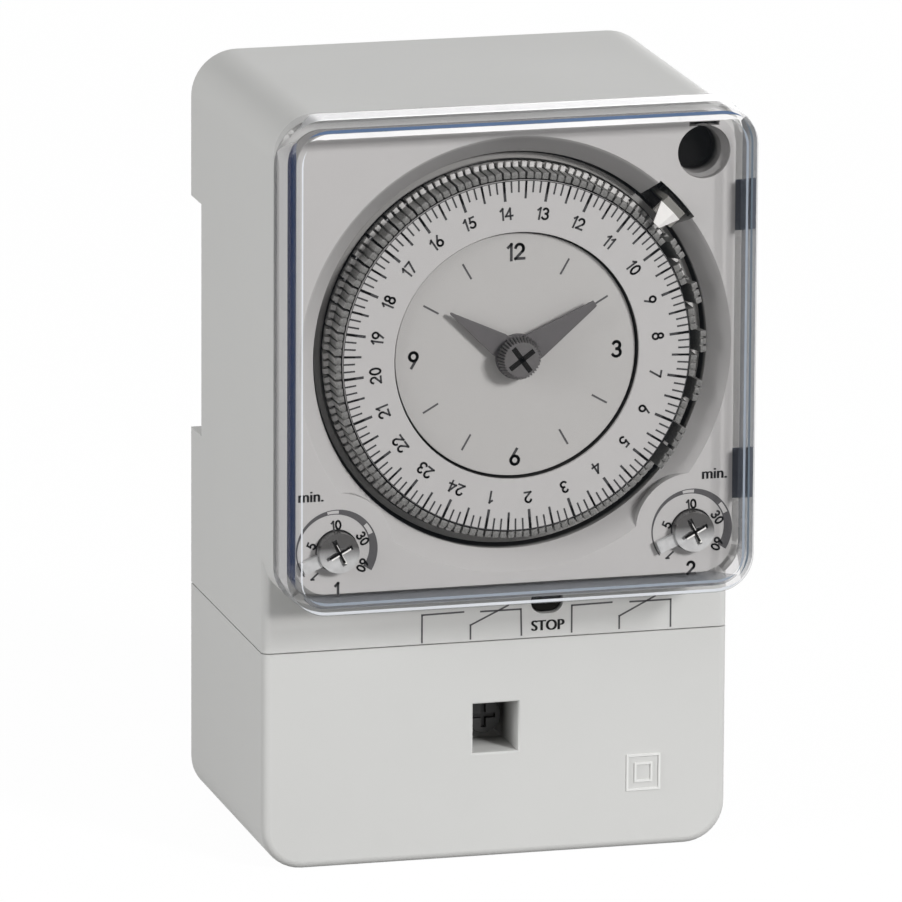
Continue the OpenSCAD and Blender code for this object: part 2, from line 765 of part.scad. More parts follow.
// Two screws of the control board
module board_screws() color("silver") for (side = [-1, 1]) {
    rod([side * board_post[0], board_post[1]], board_screw_r, board_y - board_screw_l, board_y + board_t);
    translate([0, board_y + board_t, 0])
        rod([side * board_post[0], board_post[1]], board_head_r, 0, board_head_t);
}

// One relay on the back of the control board
module relay(side) {
    translate([side * (relay_x + relay_size[0] / 2), board_y + board_t, relay_z])
        block([-relay_size[0] / 2, 0, 0], [relay_size[0] / 2, relay_size[1], relay_size[2]]);
}

module relay_1() color("royalblue") relay(-1);
module relay_2() color("royalblue") relay(1);

// Mains dropper capacitor, above the relays
module capacitor() color("khaki")
    translate([0, board_y + board_t, board_z1 - capacitor_size[2]])
        block([-capacitor_size[0] / 2, 0, 0], [capacitor_size[0] / 2, capacitor_size[1], capacitor_size[2]]);

// Bodies of the two delay trimmers
module trimmer_bodies() color("steelblue") for (side = [-1, 1]) difference() {
    translate([side * trimmer_x, board_y - trimmer_box_l, trimmer_z])
        block([-trimmer_box / 2, 0, -trimmer_box / 2], [trimmer_box / 2, trimmer_box_l, trimmer_box / 2]);
    translate([0, board_y - trimmer_box_l, 0])
        rod([side * trimmer_x, trimmer_z], trimmer_stem_r + run_fit, -cut, trimmer_stem_l + cut);
}

// A delay knob: clear, with a cross slot and an arm that points at its scale
module delay_knob(side) {
    p = [side * trimmer_x, trimmer_z];
    face = plate_y - knob_proud;
    difference() {
        union() {
            rod(p, trimmer_r, face, plate_back_y - run_gap);
            rod(p, trimmer_stem_r, plate_back_y - run_gap, board_y - trimmer_box_l + trimmer_stem_l);
            along_y(face + knob_arm_sink, face + knob_arm_sink + knob_arm_t)
                translate(p) rotate(knob_arm_angle) translate([0, -knob_arm_w / 2])
                    square([knob_arm_l, knob_arm_w]);
        }
        cross(p, 1.4 * trimmer_r, face - cut, face + recess_d, knob_arm_angle);
    }
}

module delay_knob_1() color("aliceblue", 0.6) delay_knob(-1);
module delay_knob_2() color("aliceblue", 0.6) delay_knob(1);

// Stop button, behind its opening in the strip
module stop_button() color("dimgray") translate([stop_x, 0, 0]) {
    along_y(face_y + stop_sink, stop_back_y)
        rounded(stop_w - 2 * slide_fit, stop_z + slide_fit, stop_z + stop_h - slide_fit,
                stop_r - slide_fit, stop_r - slide_fit);
    along_y(face_y + wall + slide_fit, face_y + wall + slide_fit + stop_flange_t)
        rounded(stop_w + 2 * stop_flange, stop_z - stop_flange, stop_z + stop_h + stop_flange,
                stop_r, stop_r);
}

// Switch that the stop button presses
module stop_switch() color("dimgray")
    along_y(stop_back_y + stop_travel + slide_fit, board_y)
        translate([stop_x, stop_z + stop_h / 2]) square(stop_switch_size, center = true);

// Outline of the movement's two plates
module frame_outline() {
    translate([-frame_w / 2, dial_z - frame_low]) square([frame_w, frame_low + frame_high]);
}

module movement_front_plate() color("burlywood")
        along_y(front_frame_y, front_frame_y + frame_t) difference() {
    frame_outline();
    translate([0, dial_z]) circle(arbor_r + run_fit);
    translate([-motion_c, dial_z]) circle(pin_r);
    translate([idler_c, dial_z]) circle(pin_r);
    translate([0, dial_z + motor_c]) circle(boss_r);
}

module movement_rear_plate() color("burlywood")
        along_y(rear_frame_y, rear_frame_y + frame_t) difference() {
    frame_outline();
    translate([0, dial_z]) circle(arbor_r + run_fit);
    translate([0, dial_z + motor_c]) circle(boss_r);
}

// Pillars between the movement's plates
module movement_pillars() color("goldenrod") for (side = [-1, 1]) for (dz = [-post_low, pillar_high])
    rod([side * post_x, dial_z + dz], pillar_r, front_frame_y + frame_t, rear_frame_y);

// Bridge that carries the fixed clock dial, between the two levels of wheels
module dial_bridge() color("burlywood") along_y(bridge_y, bridge_y + frame_t) difference() {
    translate([-frame_w / 2, dial_z - frame_low]) square([frame_w, frame_low + bridge_high]);
    translate([0, dial_z]) circle(hour_pipe_r + run_fit);
    translate([idler_c, dial_z]) circle(boss_r + run_gap);
    for (side = [-1, 1]) for (dz = [-post_low, post_high])
        translate([side * post_x, dial_z + dz]) circle(post_r);
}

// Pins that the idler and the motion wheel turn on
module train_pins() color("silver") {
    rod([idler_c, dial_z], pin_r, program_y, front_frame_y + frame_t);
    rod([-motion_c, dial_z], pin_r, hour_high_y - run_gap, front_frame_y + frame_t);
}

// Synchronous motor on the movement's back
module motor() color("gray") difference() {
    rod([0, dial_z + motor_c], motor_r, motor_y, motor_y + motor_d);
    rod([0, dial_z + motor_c], pin_r + run_fit, motor_y - cut, motor_y + motor_bore_l);
}

module motor_pinion() color("goldenrod") {
    wheel([0, dial_z + motor_c], motor_n, train_m, centre_y, pin_r, 0.5);
    rod([0, dial_z + motor_c], pin_r, centre_y, motor_y + motor_bore_l - end_play);
}

// Fixed 12 hour dial on its stem
module centre_dial() color("gainsboro")
    turned([at(hour_pipe_r + run_fit, clock_y), at(clock_r, clock_y), at(clock_r, clock_y + clock_t),
            at(stem_r, clock_y + clock_t), at(stem_r, bridge_y), at(hour_pipe_r + run_fit, bridge_y)]);

// 24 hour ring with its hub, drum and rimmed rear flange
module program_ring() color("whitesmoke")
    turned([at(clock_r + ring_gap, ring_y), at(ring_r, ring_y), at(ring_r, ring_y + ring_t),
            at(drum_r, ring_y + ring_t), at(drum_r, flange_y), at(flange_r - flange_rim_t, flange_y),
            at(flange_r - flange_rim_t, flange_rim_y), at(flange_r, flange_rim_y),
            at(flange_r, flange_y + flange_t), at(drum_r - drum_t, flange_y + flange_t),
            at(drum_r - drum_t, web_y + web_t), at(hub_r, web_y + web_t), at(hub_r, program_y + wheel_t),
            at(stem_r + run_fit, program_y + wheel_t), at(stem_r + run_fit, web_y),
            at(clock_r + ring_gap, web_y)]);

module program_wheel() color("goldenrod") wheel([0, dial_z], program_n, program_m, program_y, hub_r, 0.5);

// Wire that the tappets turn on
module tappet_wire() color("silver") translate([0, pivot_y, dial_z]) rotate([90, 0, 0])
    rotate_extrude() translate([pivot_r, 0]) circle(wire_r);

// One tappet at a polar angle, tilted outwards by tilt degrees; drawn on its pivot with X outwards
module tappet(angle, tilt) {
    rib_pitch = (tappet_w + tappet_gap) / rib_count;
    in_x = tappet_in_r - pivot_r;
    out_x = in_x + tappet_t;
    front = tappet_y - pivot_y;
    translate([0, 0, dial_z]) rotate([0, -angle, 0]) translate([pivot_r, pivot_y, -tappet_w / 2])
        rotate([0, 0, tilt]) difference() {
            union() {
                block([in_x, front, 0], [out_x, front + head_l, tappet_w]);
                block([in_x, front + head_l, 0], [in_x + tappet_neck_t, 0, tappet_w]);
                cylinder(r = eye_r, h = tappet_w, $fn = 32);
                for (k = [0:rib_count - 1])
                    translate([0, front + tooth_in, tappet_w / 2 + (k - 1) * rib_pitch])
                        block([in_x, 0, -tooth_w / 2], [out_x + tooth_l, tooth_t, tooth_w / 2]);
            }
            translate([0, 0, -cut]) cylinder(r = eye_bore_r, h = tappet_w + 2 * cut, $fn = 32);
            for (side = [-1, 1]) translate([0, front, tappet_w / 2 + side * rib_pitch / 2]) {
                block([out_x - rib_d, -cut, -rib_gap / 2], [out_x + cut, head_l + cut, rib_gap / 2]);
                block([in_x - cut, -cut, -rib_gap / 2], [out_x, rib_d, rib_gap / 2]);
            }
        }
}

// The tappets that stay unset, as one ring of separate levers
module tappets_unset() color("darkgray")
    for (i = [moving_tappets + 1:tappet_count]) tappet(tappet_angle(i), 0);

// Moving tappet i
module moving_tappet(i) color("darkgray") tappet(tappet_angle(i), is_set(i) ? tappet_tilt : 0);

// Idler between the hour wheel and the programme wheel
module idler_wheel() color("goldenrod") {
    p = [idler_c, dial_z];
    wheel(p, idler_pinion_n, program_m, program_y, pin_r + run_fit);
    wheel(p, idler_n, train_m, hour_low_y, pin_r + run_fit, 0.5);
    pipe(boss_r, pin_r + run_fit, program_y + wheel_t, hour_low_y, p);
}

// Hour wheel with its pipe, through the clock dial to the hour hand
module hour_wheel() color("goldenrod") {
    bore = arbor_r + run_fit;
    wheel([0, dial_z], hour_gear_n, train_m, hour_low_y, bore);
    wheel([0, dial_z], hour_n, hour_m, hour_high_y, bore, 0.5);
    pipe(hour_pipe_r, bore, hour_hand_y, hour_low_y);
    pipe(hub_r, bore, hour_low_y + wheel_t, hour_high_y);
}

// Motion wheel: takes the minute arbor's turn down to the hour wheel
module motion_wheel() color("goldenrod") {
    p = [-motion_c, dial_z];
    wheel(p, motion_pinion_n, hour_m, hour_high_y, pin_r + run_fit);
    wheel(p, motion_n, train_m, motion_y, pin_r + run_fit, 0.5);
    pipe(boss_r, pin_r + run_fit, hour_high_y + wheel_t, motion_y, p);
}

module minute_arbor() color("silver") rod([0, dial_z], arbor_r, knob_socket_y, rear_frame_y + frame_t);
module cannon_pinion() color("goldenrod") wheel([0, dial_z], cannon_n, train_m, motion_y, arbor_r);
module centre_wheel() color("goldenrod") wheel([0, dial_z], centre_n, train_m, centre_y, arbor_r);

// A tapered flat hand at a polar angle, with its hub
module hand(y, l, base_w, tip_w, hub, bore, angle) {
    along_y(y, y + hand_t) translate([0, dial_z]) rotate(angle) difference() {
        union() {
            circle(hub);
            polygon([[0, -base_w / 2], [hub, -base_w / 2], [l, -tip_w / 2],
                     [l, tip_w / 2], [hub, base_w / 2], [0, base_w / 2]]);
        }
        circle(bore);
    }
}

module hour_hand() color("dimgray")
    hand(hour_hand_y, hour_hand_l, hour_hand_w, hour_tip_w, knob_r, hour_pipe_r, hour_angle);

module minute_hand() color("dimgray")
    hand(minute_hand_y, minute_hand_l, minute_hand_w, minute_tip_w, knob_r - knob_rib_d, arbor_r,
         minute_angle);

// Setting knob: knurled, with a cross recess
module setting_knob() color("dimgray") difference() {
    along_y(knob_y, minute_hand_y) translate([0, dial_z])
        polygon([for (i = [0:2 * knob_ribs - 1])
            let (a = i * 180 / knob_ribs) (knob_r - (i % 2) * knob_rib_d) * [cos(a), sin(a)]]);
    rod([0, dial_z], arbor_r, knob_socket_y, minute_hand_y + cut);
    cross([0, dial_z], knob_r, knob_y - cut, knob_y + recess_d, knob_cross_angle);
}

// Switch lever: a bar on its pivot, a stem beside the well and a tongue over the dish
module switch_lever() color("gray") difference() {
    union() {
        stem = on_dial(lever_stem_r, index_angle);
        reach = stem - lever_pivot;
        along_y(lever_y, lever_y + lever_t) {
            translate(lever_pivot) circle(boss_r);
            translate(lever_pivot) rotate(atan2(reach[1], reach[0]))
                translate([0, lever_stem_t / 2 - lever_bar_w]) square([norm(reach), lever_bar_w]);
        }
        at_lever() {
            block([-lever_stem_w / 2, tongue_y, -lever_stem_t / 2],
                  [lever_stem_w / 2, lever_tail_y, lever_stem_t / 2]);
            block([-lever_stem_w / 2, tongue_y, -tongue_l],
                  [lever_stem_w / 2, tongue_y + tongue_t, 0]);
        }
    }
    rod(lever_pivot, pin_r + run_fit, lever_y - cut, lever_y + lever_t + cut);
}

// White pointer on the lever's tongue, which reads the programme ring
module index_pointer() color("white") at_lever() along_y(tongue_y - pointer_t, tongue_y)
    polygon([[-pointer_w / 2, -lever_stem_t], [-pointer_tip_w / 2, -lever_stem_t - pointer_l],
             [pointer_tip_w / 2, -lever_stem_t - pointer_l], [pointer_w / 2, -lever_stem_t]]);

// Pin of the switch lever, with a head behind it
module lever_pin() color("silver") {
    rod(lever_pivot, pin_r, plate_back_y, lever_y + lever_t + slide_fit);
    rod(lever_pivot, boss_r, lever_y + lever_t + slide_fit, lever_y + lever_t + 2 * slide_fit);
}

// Snap switch that the lever works
module snap_switch() color("dimgray") at_lever() translate([0, switch_y, switch_n]) difference() {
    translate([switch_x, 0, 0]) cube(switch_size);
    translate([0, switch_size[1] / 2, -cut]) cylinder(r = button_r + run_fit, h = cut + button_bore_l);
}

module switch_button() color("black") at_lever()
    translate([0, switch_y + switch_size[1] / 2, lever_stem_t / 2 + button_gap])
        cylinder(r = button_r, h = button_l);

housing();
base_plate();
housing_screws();
front_plate();
clear_cover();
terminal_cover();
terminal_cover_screw();
terminal_block();
terminal_clamps();
terminal_screws();
terminal_strips();
rail_foot();
rail_foot_spring();
control_board();
board_screws();
relay_1();
relay_2();
capacitor();
trimmer_bodies();
delay_knob_1();
delay_knob_2();
stop_button();
stop_switch();
movement_front_plate();
movement_rear_plate();
movement_pillars();
dial_bridge();
train_pins();
motor();
motor_pinion();
centre_dial();
program_ring();
program_wheel();
tappet_wire();
tappets_unset();
idler_wheel();
hour_wheel();
motion_wheel();
minute_arbor();
cannon_pinion();
centre_wheel();
hour_hand();
minute_hand();
setting_knob();
switch_lever();
index_pointer();
lever_pin();
snap_switch();
switch_button();
for (i = [1:moving_tappets]) moving_tappet(i);
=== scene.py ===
# %% [markdown]
# # Defrost timer switch
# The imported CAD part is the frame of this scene: its places, sizes and moving bodies stay as they are. Each cell
# below gives some of its pieces their looks, and prints what it made. Lengths are typed in millimetres and turned
# into metres with MM, because the frame is in metres.

# %% Load the frame
import json
import math

import bmesh
import bpy
from mathutils import Matrix, Vector


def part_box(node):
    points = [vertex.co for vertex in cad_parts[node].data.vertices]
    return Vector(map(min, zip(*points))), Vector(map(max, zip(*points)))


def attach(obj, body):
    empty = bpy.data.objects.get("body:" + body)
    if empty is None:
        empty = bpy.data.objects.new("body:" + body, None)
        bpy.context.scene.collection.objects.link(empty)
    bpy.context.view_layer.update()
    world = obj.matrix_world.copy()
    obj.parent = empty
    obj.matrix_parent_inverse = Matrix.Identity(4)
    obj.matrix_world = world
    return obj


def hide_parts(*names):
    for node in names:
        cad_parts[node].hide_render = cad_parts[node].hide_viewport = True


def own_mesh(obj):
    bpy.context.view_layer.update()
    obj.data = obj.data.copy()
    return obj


MM = 0.001
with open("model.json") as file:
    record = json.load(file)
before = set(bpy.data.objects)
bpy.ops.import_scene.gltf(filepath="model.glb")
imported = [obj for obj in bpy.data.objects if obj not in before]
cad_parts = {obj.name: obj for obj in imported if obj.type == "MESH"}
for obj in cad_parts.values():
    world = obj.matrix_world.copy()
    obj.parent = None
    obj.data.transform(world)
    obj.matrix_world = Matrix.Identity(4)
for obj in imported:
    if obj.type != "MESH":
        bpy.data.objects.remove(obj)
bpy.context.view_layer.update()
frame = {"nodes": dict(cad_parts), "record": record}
nodes = frame["nodes"]
body_of = {n: body for body, group in frame["record"]["behaviour"]["bodies"].items() for n in group}
slot_of = {part["node"]: part["material_slot"] for part in frame["record"]["subparts"]}

# %% [markdown]
# ## Places that come up often
# The object looks towards negative y, so a smaller y is nearer to the camera. The first row holds the y of the
# casing's face, the cover's rim and front, the front plate, the 24 hour ring and the clock. The next rows hold half of
# the width and the heights of the dial's axis and the square tunnel, the cover's lower and upper edge and the radius
# of its corners, and the place of the delay trimmers, which stand as far to the left as to the right. Print stands
# PROUD of what carries it, because two faces in one place would flicker: FRONT is its y on the plate, and STRIP is its
# y on the strip below the cover.

# %% Places that come up often
FACE, RIM, COVER_FRONT, PLATE, RING_Y, CLOCK_Y = -14.0, -20.3, -31, -24.2, -24.8, -23.8
HALF, DIAL, TUNNEL_Z = 36, 79.8, 20.1
COVER_LOW, COVER_HIGH, COVER_R = 42.5, 117.1, 6.2
TRIMMER_X, TRIMMER_Z = 27.3, 51.6
PROUD = 0.02
FRONT, STRIP = PLATE - PROUD, FACE - PROUD
print("the dial's axis is", DIAL, "mm above the ground")

# %% [markdown]
# ## Camera
# A long lens from the left and above, turned to the place from which the photo was taken. The three directions of
# the camera are worked out first, because they are easier to think about than three turning angles.

# %% Camera
YAW, PITCH, ROLL = math.radians(-14.99), math.radians(13.73), math.radians(0.30)
TARGET, DISTANCE, LENS, SENSOR = Vector((-1.80, 6.0, 58.12)), 1755.8, 465, 36
back = Vector((math.sin(YAW) * math.cos(PITCH), -math.cos(YAW) * math.cos(PITCH), math.sin(PITCH)))
right = Vector((0, 0, 1)).cross(back).normalized()
turn = Matrix((right, back.cross(right), back)).transposed() @ Matrix.Rotation(ROLL, 3, "Z")
camera = bpy.data.objects.new("camera", bpy.data.cameras.new("camera"))
camera.data.lens = LENS
camera.data.sensor_width = SENSOR
camera.matrix_world = Matrix.Translation(TARGET * MM + back * DISTANCE * MM) @ turn.to_4x4()
bpy.context.scene.collection.objects.link(camera)
bpy.context.scene.camera = camera
bpy.context.scene.view_settings.view_transform = "Standard"
print("camera at", tuple(round(c, 3) for c in camera.matrix_world.translation))

# %% [markdown]
# ## Shader maths
# A value in a shader is the output of a node. This small class lets two of them be added, subtracted and multiplied
# in plain Python. Its methods read one axis of a place, turn a span of millimetres into 0 to 1, tell whether a place
# is near a middle, and blend a paint into a second colour.


# %% Shader maths
class Value:
    def __init__(self, tree, socket):
        self.tree, self.socket = tree, socket

    def node(self, kind, settings=(), sockets=()):
        node = self.tree.nodes.new(kind)
        for key, value in dict(settings).items():
            setattr(node, key, value)
        for key, value in dict(sockets).items():
            if isinstance(value, Value):
                self.tree.links.new(value.socket, node.inputs[key])
            else:
                node.inputs[key].default_value = value
        return node

    def of(self, kind, settings=(), sockets=(), out=0):
        return Value(self.tree, self.node(kind, settings, sockets).outputs[out])

    def math(self, operation, other):
        return self.of("ShaderNodeMath", {"operation": operation}, {0: self, 1: other})

    def __add__(self, other):
        return self.math("ADD", other)

    def __sub__(self, other):
        return self.math("SUBTRACT", other)

    def __mul__(self, other):
        return self.math("MULTIPLY", other)

    def __rsub__(self, other):
        return self * -1 + other

    __radd__, __rmul__ = __add__, __mul__

    def noise(self, scale, detail=2.0):
        return self.of("ShaderNodeTexNoise", (), {"Vector": self, "Scale": scale, "Detail": detail})

    def mix(self, a, b):
        ramp = self.node("ShaderNodeValToRGB", (), {"Fac": self})
        ramp.color_ramp.elements[0].position = 0.3
        ramp.color_ramp.elements[1].position = 0.7
        ramp.color_ramp.elements[0].color = (*a, 1)
        ramp.color_ramp.elements[1].color = (*b, 1)
        return Value(self.tree, ramp.outputs[0])

    def axis(self, index):
        return self.of("ShaderNodeSeparateXYZ", (), {0: self}, index)

    def between(self, low, high):
        return self.of("ShaderNodeMapRange", (), {"Value": self, "From Min": low * MM, "From Max": high * MM})

    def within(self, middle, half):
        return (self - middle * MM).math("ABSOLUTE", 0).math("LESS_THAN", half * MM)

    def blend(self, paint, colour):
        return self.of("ShaderNodeMix", {"data_type": "RGBA"}, {0: self, 6: paint, 7: (*colour, 1)}, 2)


# %% [markdown]
# ## Materials
# Every surface is painted in three dimensions by noise on the object's own coordinates: a slow drift of the colour,
# a drift of the gloss and a fine grain in the normals, as moulded and machined surfaces have. Colours are typed as
# sRGB steps of 0 to 255 and turned to linear light. Some mouldings get a list of extra tones, each with the part of
# the object that it covers. Most of these tones are painted shade: recesses, wells, gaps and the valleys between ribs
# are painted darker, as is the side of a part that gets less light. The pale ends of the tappets are their own colour.


# %% Materials
GLOSS_DRIFT, GRAIN_DEPTH = 0.12, 0.00005


def linear(srgb):
    return tuple((c / 255 / 12.92 if c < 10 else ((c / 255 + 0.055) / 1.055) ** 2.4) for c in srgb)


def surface(name, srgb, rough=0.5, drift=0.03, scale=60, grain=0.0, grain_scale=4000, constants=(), tones=()):
    material = bpy.data.materials.new(name)
    material.use_nodes = True
    tree = material.node_tree
    shader = tree.nodes["Principled BSDF"]
    place = Value(tree, tree.nodes.new("ShaderNodeTexCoord").outputs["Object"])
    slow = place.noise(scale, 3.0)
    colour = linear(srgb)
    paint = slow.mix([c * (1 - drift) for c in colour], [c * (1 + drift) for c in colour])
    for covers, tone in tones:
        paint = covers(place).blend(paint, linear(tone))
    tree.links.new(paint.socket, shader.inputs["Base Color"])
    tree.links.new((slow * GLOSS_DRIFT + (rough - GLOSS_DRIFT / 2)).socket, shader.inputs["Roughness"])
    if grain:
        bump = place.of("ShaderNodeBump", (), {"Strength": grain, "Distance": GRAIN_DEPTH,
                                                "Height": place.noise(grain_scale, 1.0)})
        tree.links.new(bump.socket, shader.inputs["Normal"])
    for key, value in dict(constants).items():
        shader.inputs[key].default_value = value
    return material


def from_axis(place):
    x, z = place.axis(0), place.axis(2) - DIAL * MM
    return (x * x + z * z).math("SQRT", 0)


# Painted shade: the plate is painted near black from about 3 mm behind its face on, deep in the well round the dial.
def deep_in_well(place):
    return place.axis(1).between(-21.0, -19.6)


# Painted shade: the upper part of the plate's dish faces down, away from the light, and is painted darker.
def top_of_dish(place):
    return place.axis(1).between(-24.1, -23.6) * place.axis(2).between(DIAL + 2, DIAL + 24)


# Painted shade: the ring is painted near black from about half a millimetre behind its face on, where the gap round
# the clock and the ring's inside lie in shade.
def behind_print(place):
    return place.axis(1).between(-24.4, -24.2)


# Painted shade: the outer rim of the ring's flange, deep in the well, is painted mid-grey, darker than the ring's own
# colour and lighter than the painted black behind its face.
def flange_rim(place):
    return from_axis(place).between(28.0, 28.2)


def tooth_end(place):
    return from_axis(place).between(27.75, 27.85)


# Painted shade: inside the square tunnel of the terminal cover the colour goes near black with depth.
def deep_in_tunnel(place):
    return (place.axis(1).between(-10.5, -2.5) * place.axis(0).within(0.0, 3.8)
            * place.axis(2).within(TUNNEL_Z, 4.1))


# Painted shade: the valleys between the setting knob's ribs are painted near black.
def between_ribs(place):
    y = place.axis(1)
    return y.between(-27.5, -27.4) * (0.325 * y + 11.86 * MM - from_axis(place)).between(0.2, 0.34)


# Painted shade: the clear delay knobs are painted dark on their upper half, for the shade and refraction that such a
# clear knob shows there.
def upper_half(place):
    return place.axis(2).between(50.3, 52.5)


# %% [markdown]
# Thin clear plastic looks through, and turns to gloss where it is seen edge on. Layer Weight's Facing gives that:
# 0 face on and 1 edge on. The cover takes a high power of it, so that only its round edges show. The tint inside a
# thick wall shows from about 60 degrees on, as the light that runs along such a wall does.


# %% Clear plastic
def see_through(name, srgb, tint, gloss_of):
    material = surface(name, srgb, rough=0.12, drift=0.004, scale=30)
    tree = material.node_tree
    gloss = gloss_of(Value(tree, tree.nodes.new("ShaderNodeLayerWeight").outputs["Facing"]))
    through = gloss.of("ShaderNodeBsdfTransparent", (), {"Color": (*tint, 1)})
    shader = Value(tree, tree.nodes["Principled BSDF"].outputs[0])
    both = gloss.of("ShaderNodeMixShader", (), {"Fac": gloss, 1: through, 2: shader})
    tree.links.new(both.socket, tree.nodes["Material Output"].inputs["Surface"])
    return material


def round_edges(facing):
    return facing.math("POWER", 5.0) * 0.6 + 0.01


def slope(facing, start, steep=5.0):
    return facing.of("ShaderNodeMath", {"operation": "MULTIPLY_ADD", "use_clamp": True},
                     {0: facing, 1: steep, 2: -steep * start})


def along_wall(facing):
    return slope(facing, 0.45)


def edge_on(facing):
    return slope(facing, 0.55)


METAL = {"Metallic": 1.0}
DULL = {"Specular IOR Level": 0.15}
# After the name: colour, roughness, drift and its scale, grain and its scale.
CASING = (211, 211, 209), 0.55, 0.012, 40, 0.12, 5000, DULL
TAPPET = (112, 112, 110), 0.5, 0.30, 3500, 0.15, 3000
paints = {
    "housing_plastic": surface("housing_plastic", *CASING),
    "plate_plastic": surface("plate_plastic", (194, 193, 192), 0.5, 0.012, 50, 0.08, 5000, DULL,
                             tones=[(top_of_dish, (160, 159, 158)), (deep_in_well, (30, 28, 26))]),
    "clear_plastic": see_through("clear_plastic", (140, 148, 157), (0.978, 0.974, 0.974), round_edges),
    "dial_plastic": surface("dial_plastic", (194, 193, 192), 0.55, 0.012, 50, 0.05, 5000, DULL,
                            tones=[(behind_print, (46, 45, 43)), (flange_rim, (150, 149, 147))]),
    "tappet_plastic": surface("tappet_plastic", *TAPPET),
    "hand_plastic": surface("hand_plastic", (83, 81, 82), 0.5, 0.06, 900, 0.15, 4000),
    "lever_plastic": surface("lever_plastic", (122, 121, 116), 0.5, 0.05, 150, 0.1, 4000),
    "pointer_plastic": surface("pointer_plastic", (244, 243, 240), 0.4, 0.012, 100, 0.05, 4000),
    "dark_plastic": surface("dark_plastic", (24, 23, 22), 0.5, 0.08, 120, 0.15, 4000),
    "block_plastic": surface("block_plastic", (120, 122, 124), 0.5, 0.05, 120, 0.15, 4000),
    "trimmer_plastic": surface("trimmer_plastic", (190, 190, 188), 0.45, 0.05, 150, 0.1, 4000),
    "relay_plastic": surface("relay_plastic", (45, 90, 140), 0.4, 0.05, 120, 0.1, 4000),
    "capacitor_plastic": surface("capacitor_plastic", (190, 160, 60), 0.35, 0.04, 120, 0.05, 4000),
    "board_laminate": surface("board_laminate", (50, 110, 70), 0.45, 0.12, 700, 0.1, 3000),
    "steel": surface("steel", (190, 190, 192), 0.35, 0.06, 300, 0.1, 2500, METAL),
    "black_steel": surface("black_steel", (22, 21, 20), 0.45, 0.08, 300, 0.1, 2500),
    "brass": surface("brass", (200, 165, 95), 0.35, 0.06, 300, 0.1, 2500, METAL),
}
own_paint = {
    # The terminal cover gets painted shade deep in its tunnel.
    "terminal_cover": surface("terminal_cover_plastic", *CASING, tones=[(deep_in_tunnel, (34, 30, 26))]),
    "centre_dial": surface("clock_plastic", (188, 187, 185), 0.55, 0.012, 50, 0.05, 5000, DULL),
    "setting_knob": surface("knob_plastic", (87, 85, 85), 0.45, 0.06, 900, 0.15, 4000,
                            tones=[(between_ribs, (14, 13, 12))]),
    # The stop button is black, and is painted darker still as shade of the deep opening that it sits in.
    "stop_button": surface("button_plastic", (13, 11, 8), 0.7, 0.05, 120, 0.15, 4000, DULL),
}
# The delay knobs get painted shade on their upper half.
for name in ("delay_knob_1", "delay_knob_2"):
    own_paint[name] = surface(name + "_plastic", (198, 199, 199), 0.2, 0.1, 900, tones=[(upper_half, (74, 73, 72))])
for name in ("tappets_unset", "tappet_2", "tappet_4", "tappet_6", "tappet_8"):
    own_paint[name] = surface(name + "_plastic", *TAPPET, tones=[(tooth_end, (194, 193, 191))])
ink = surface("black_ink", (44, 44, 46), 0.6, 0.05, 300)
grey_ink = surface("grey_ink", (74, 73, 75), 0.6, 0.05, 300)
shade = surface("inner_shade", (14, 13, 12), 0.8, 0.05, 300, constants=DULL)
relief = surface("relief_plastic", (230, 230, 228), 0.45, 0.01, 60)
print(len(paints) + len(own_paint) + len((ink, grey_ink, shade, relief)), "materials")

# %% [markdown]
# ## From shapes to pieces
# A piece is a finished mesh that rides on one CAD body. The CAD nodes have knife-sharp edges, which no moulded or
# turned part has, so a node's piece starts as a copy of its mesh with its triangles joined again, and a bevel then
# rounds the edges that meet at more than 40 degrees.


# %% From shapes to pieces
SAME_PLACE, FLAT, BENT = 2e-6, math.radians(0.5), math.radians(40)
made = []


def place_piece(name, mesh, material, body, sharp=35):
    mesh.materials.clear()
    mesh.materials.append(material)
    mesh.shade_smooth()
    mesh.set_sharp_from_angle(angle=math.radians(sharp))
    piece = bpy.data.objects.new(name, mesh)
    bpy.context.scene.collection.objects.link(piece)
    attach(piece, body)
    made.append(piece)
    return piece


def evaluated(obj):
    bpy.context.view_layer.update()
    mesh = bpy.data.meshes.new_from_object(obj.evaluated_get(bpy.context.evaluated_depsgraph_get()))
    bpy.data.objects.remove(obj)
    return mesh


def from_bmesh(name, bm):
    mesh = bpy.data.meshes.new(name)
    bm.to_mesh(mesh)
    bm.free()
    return mesh


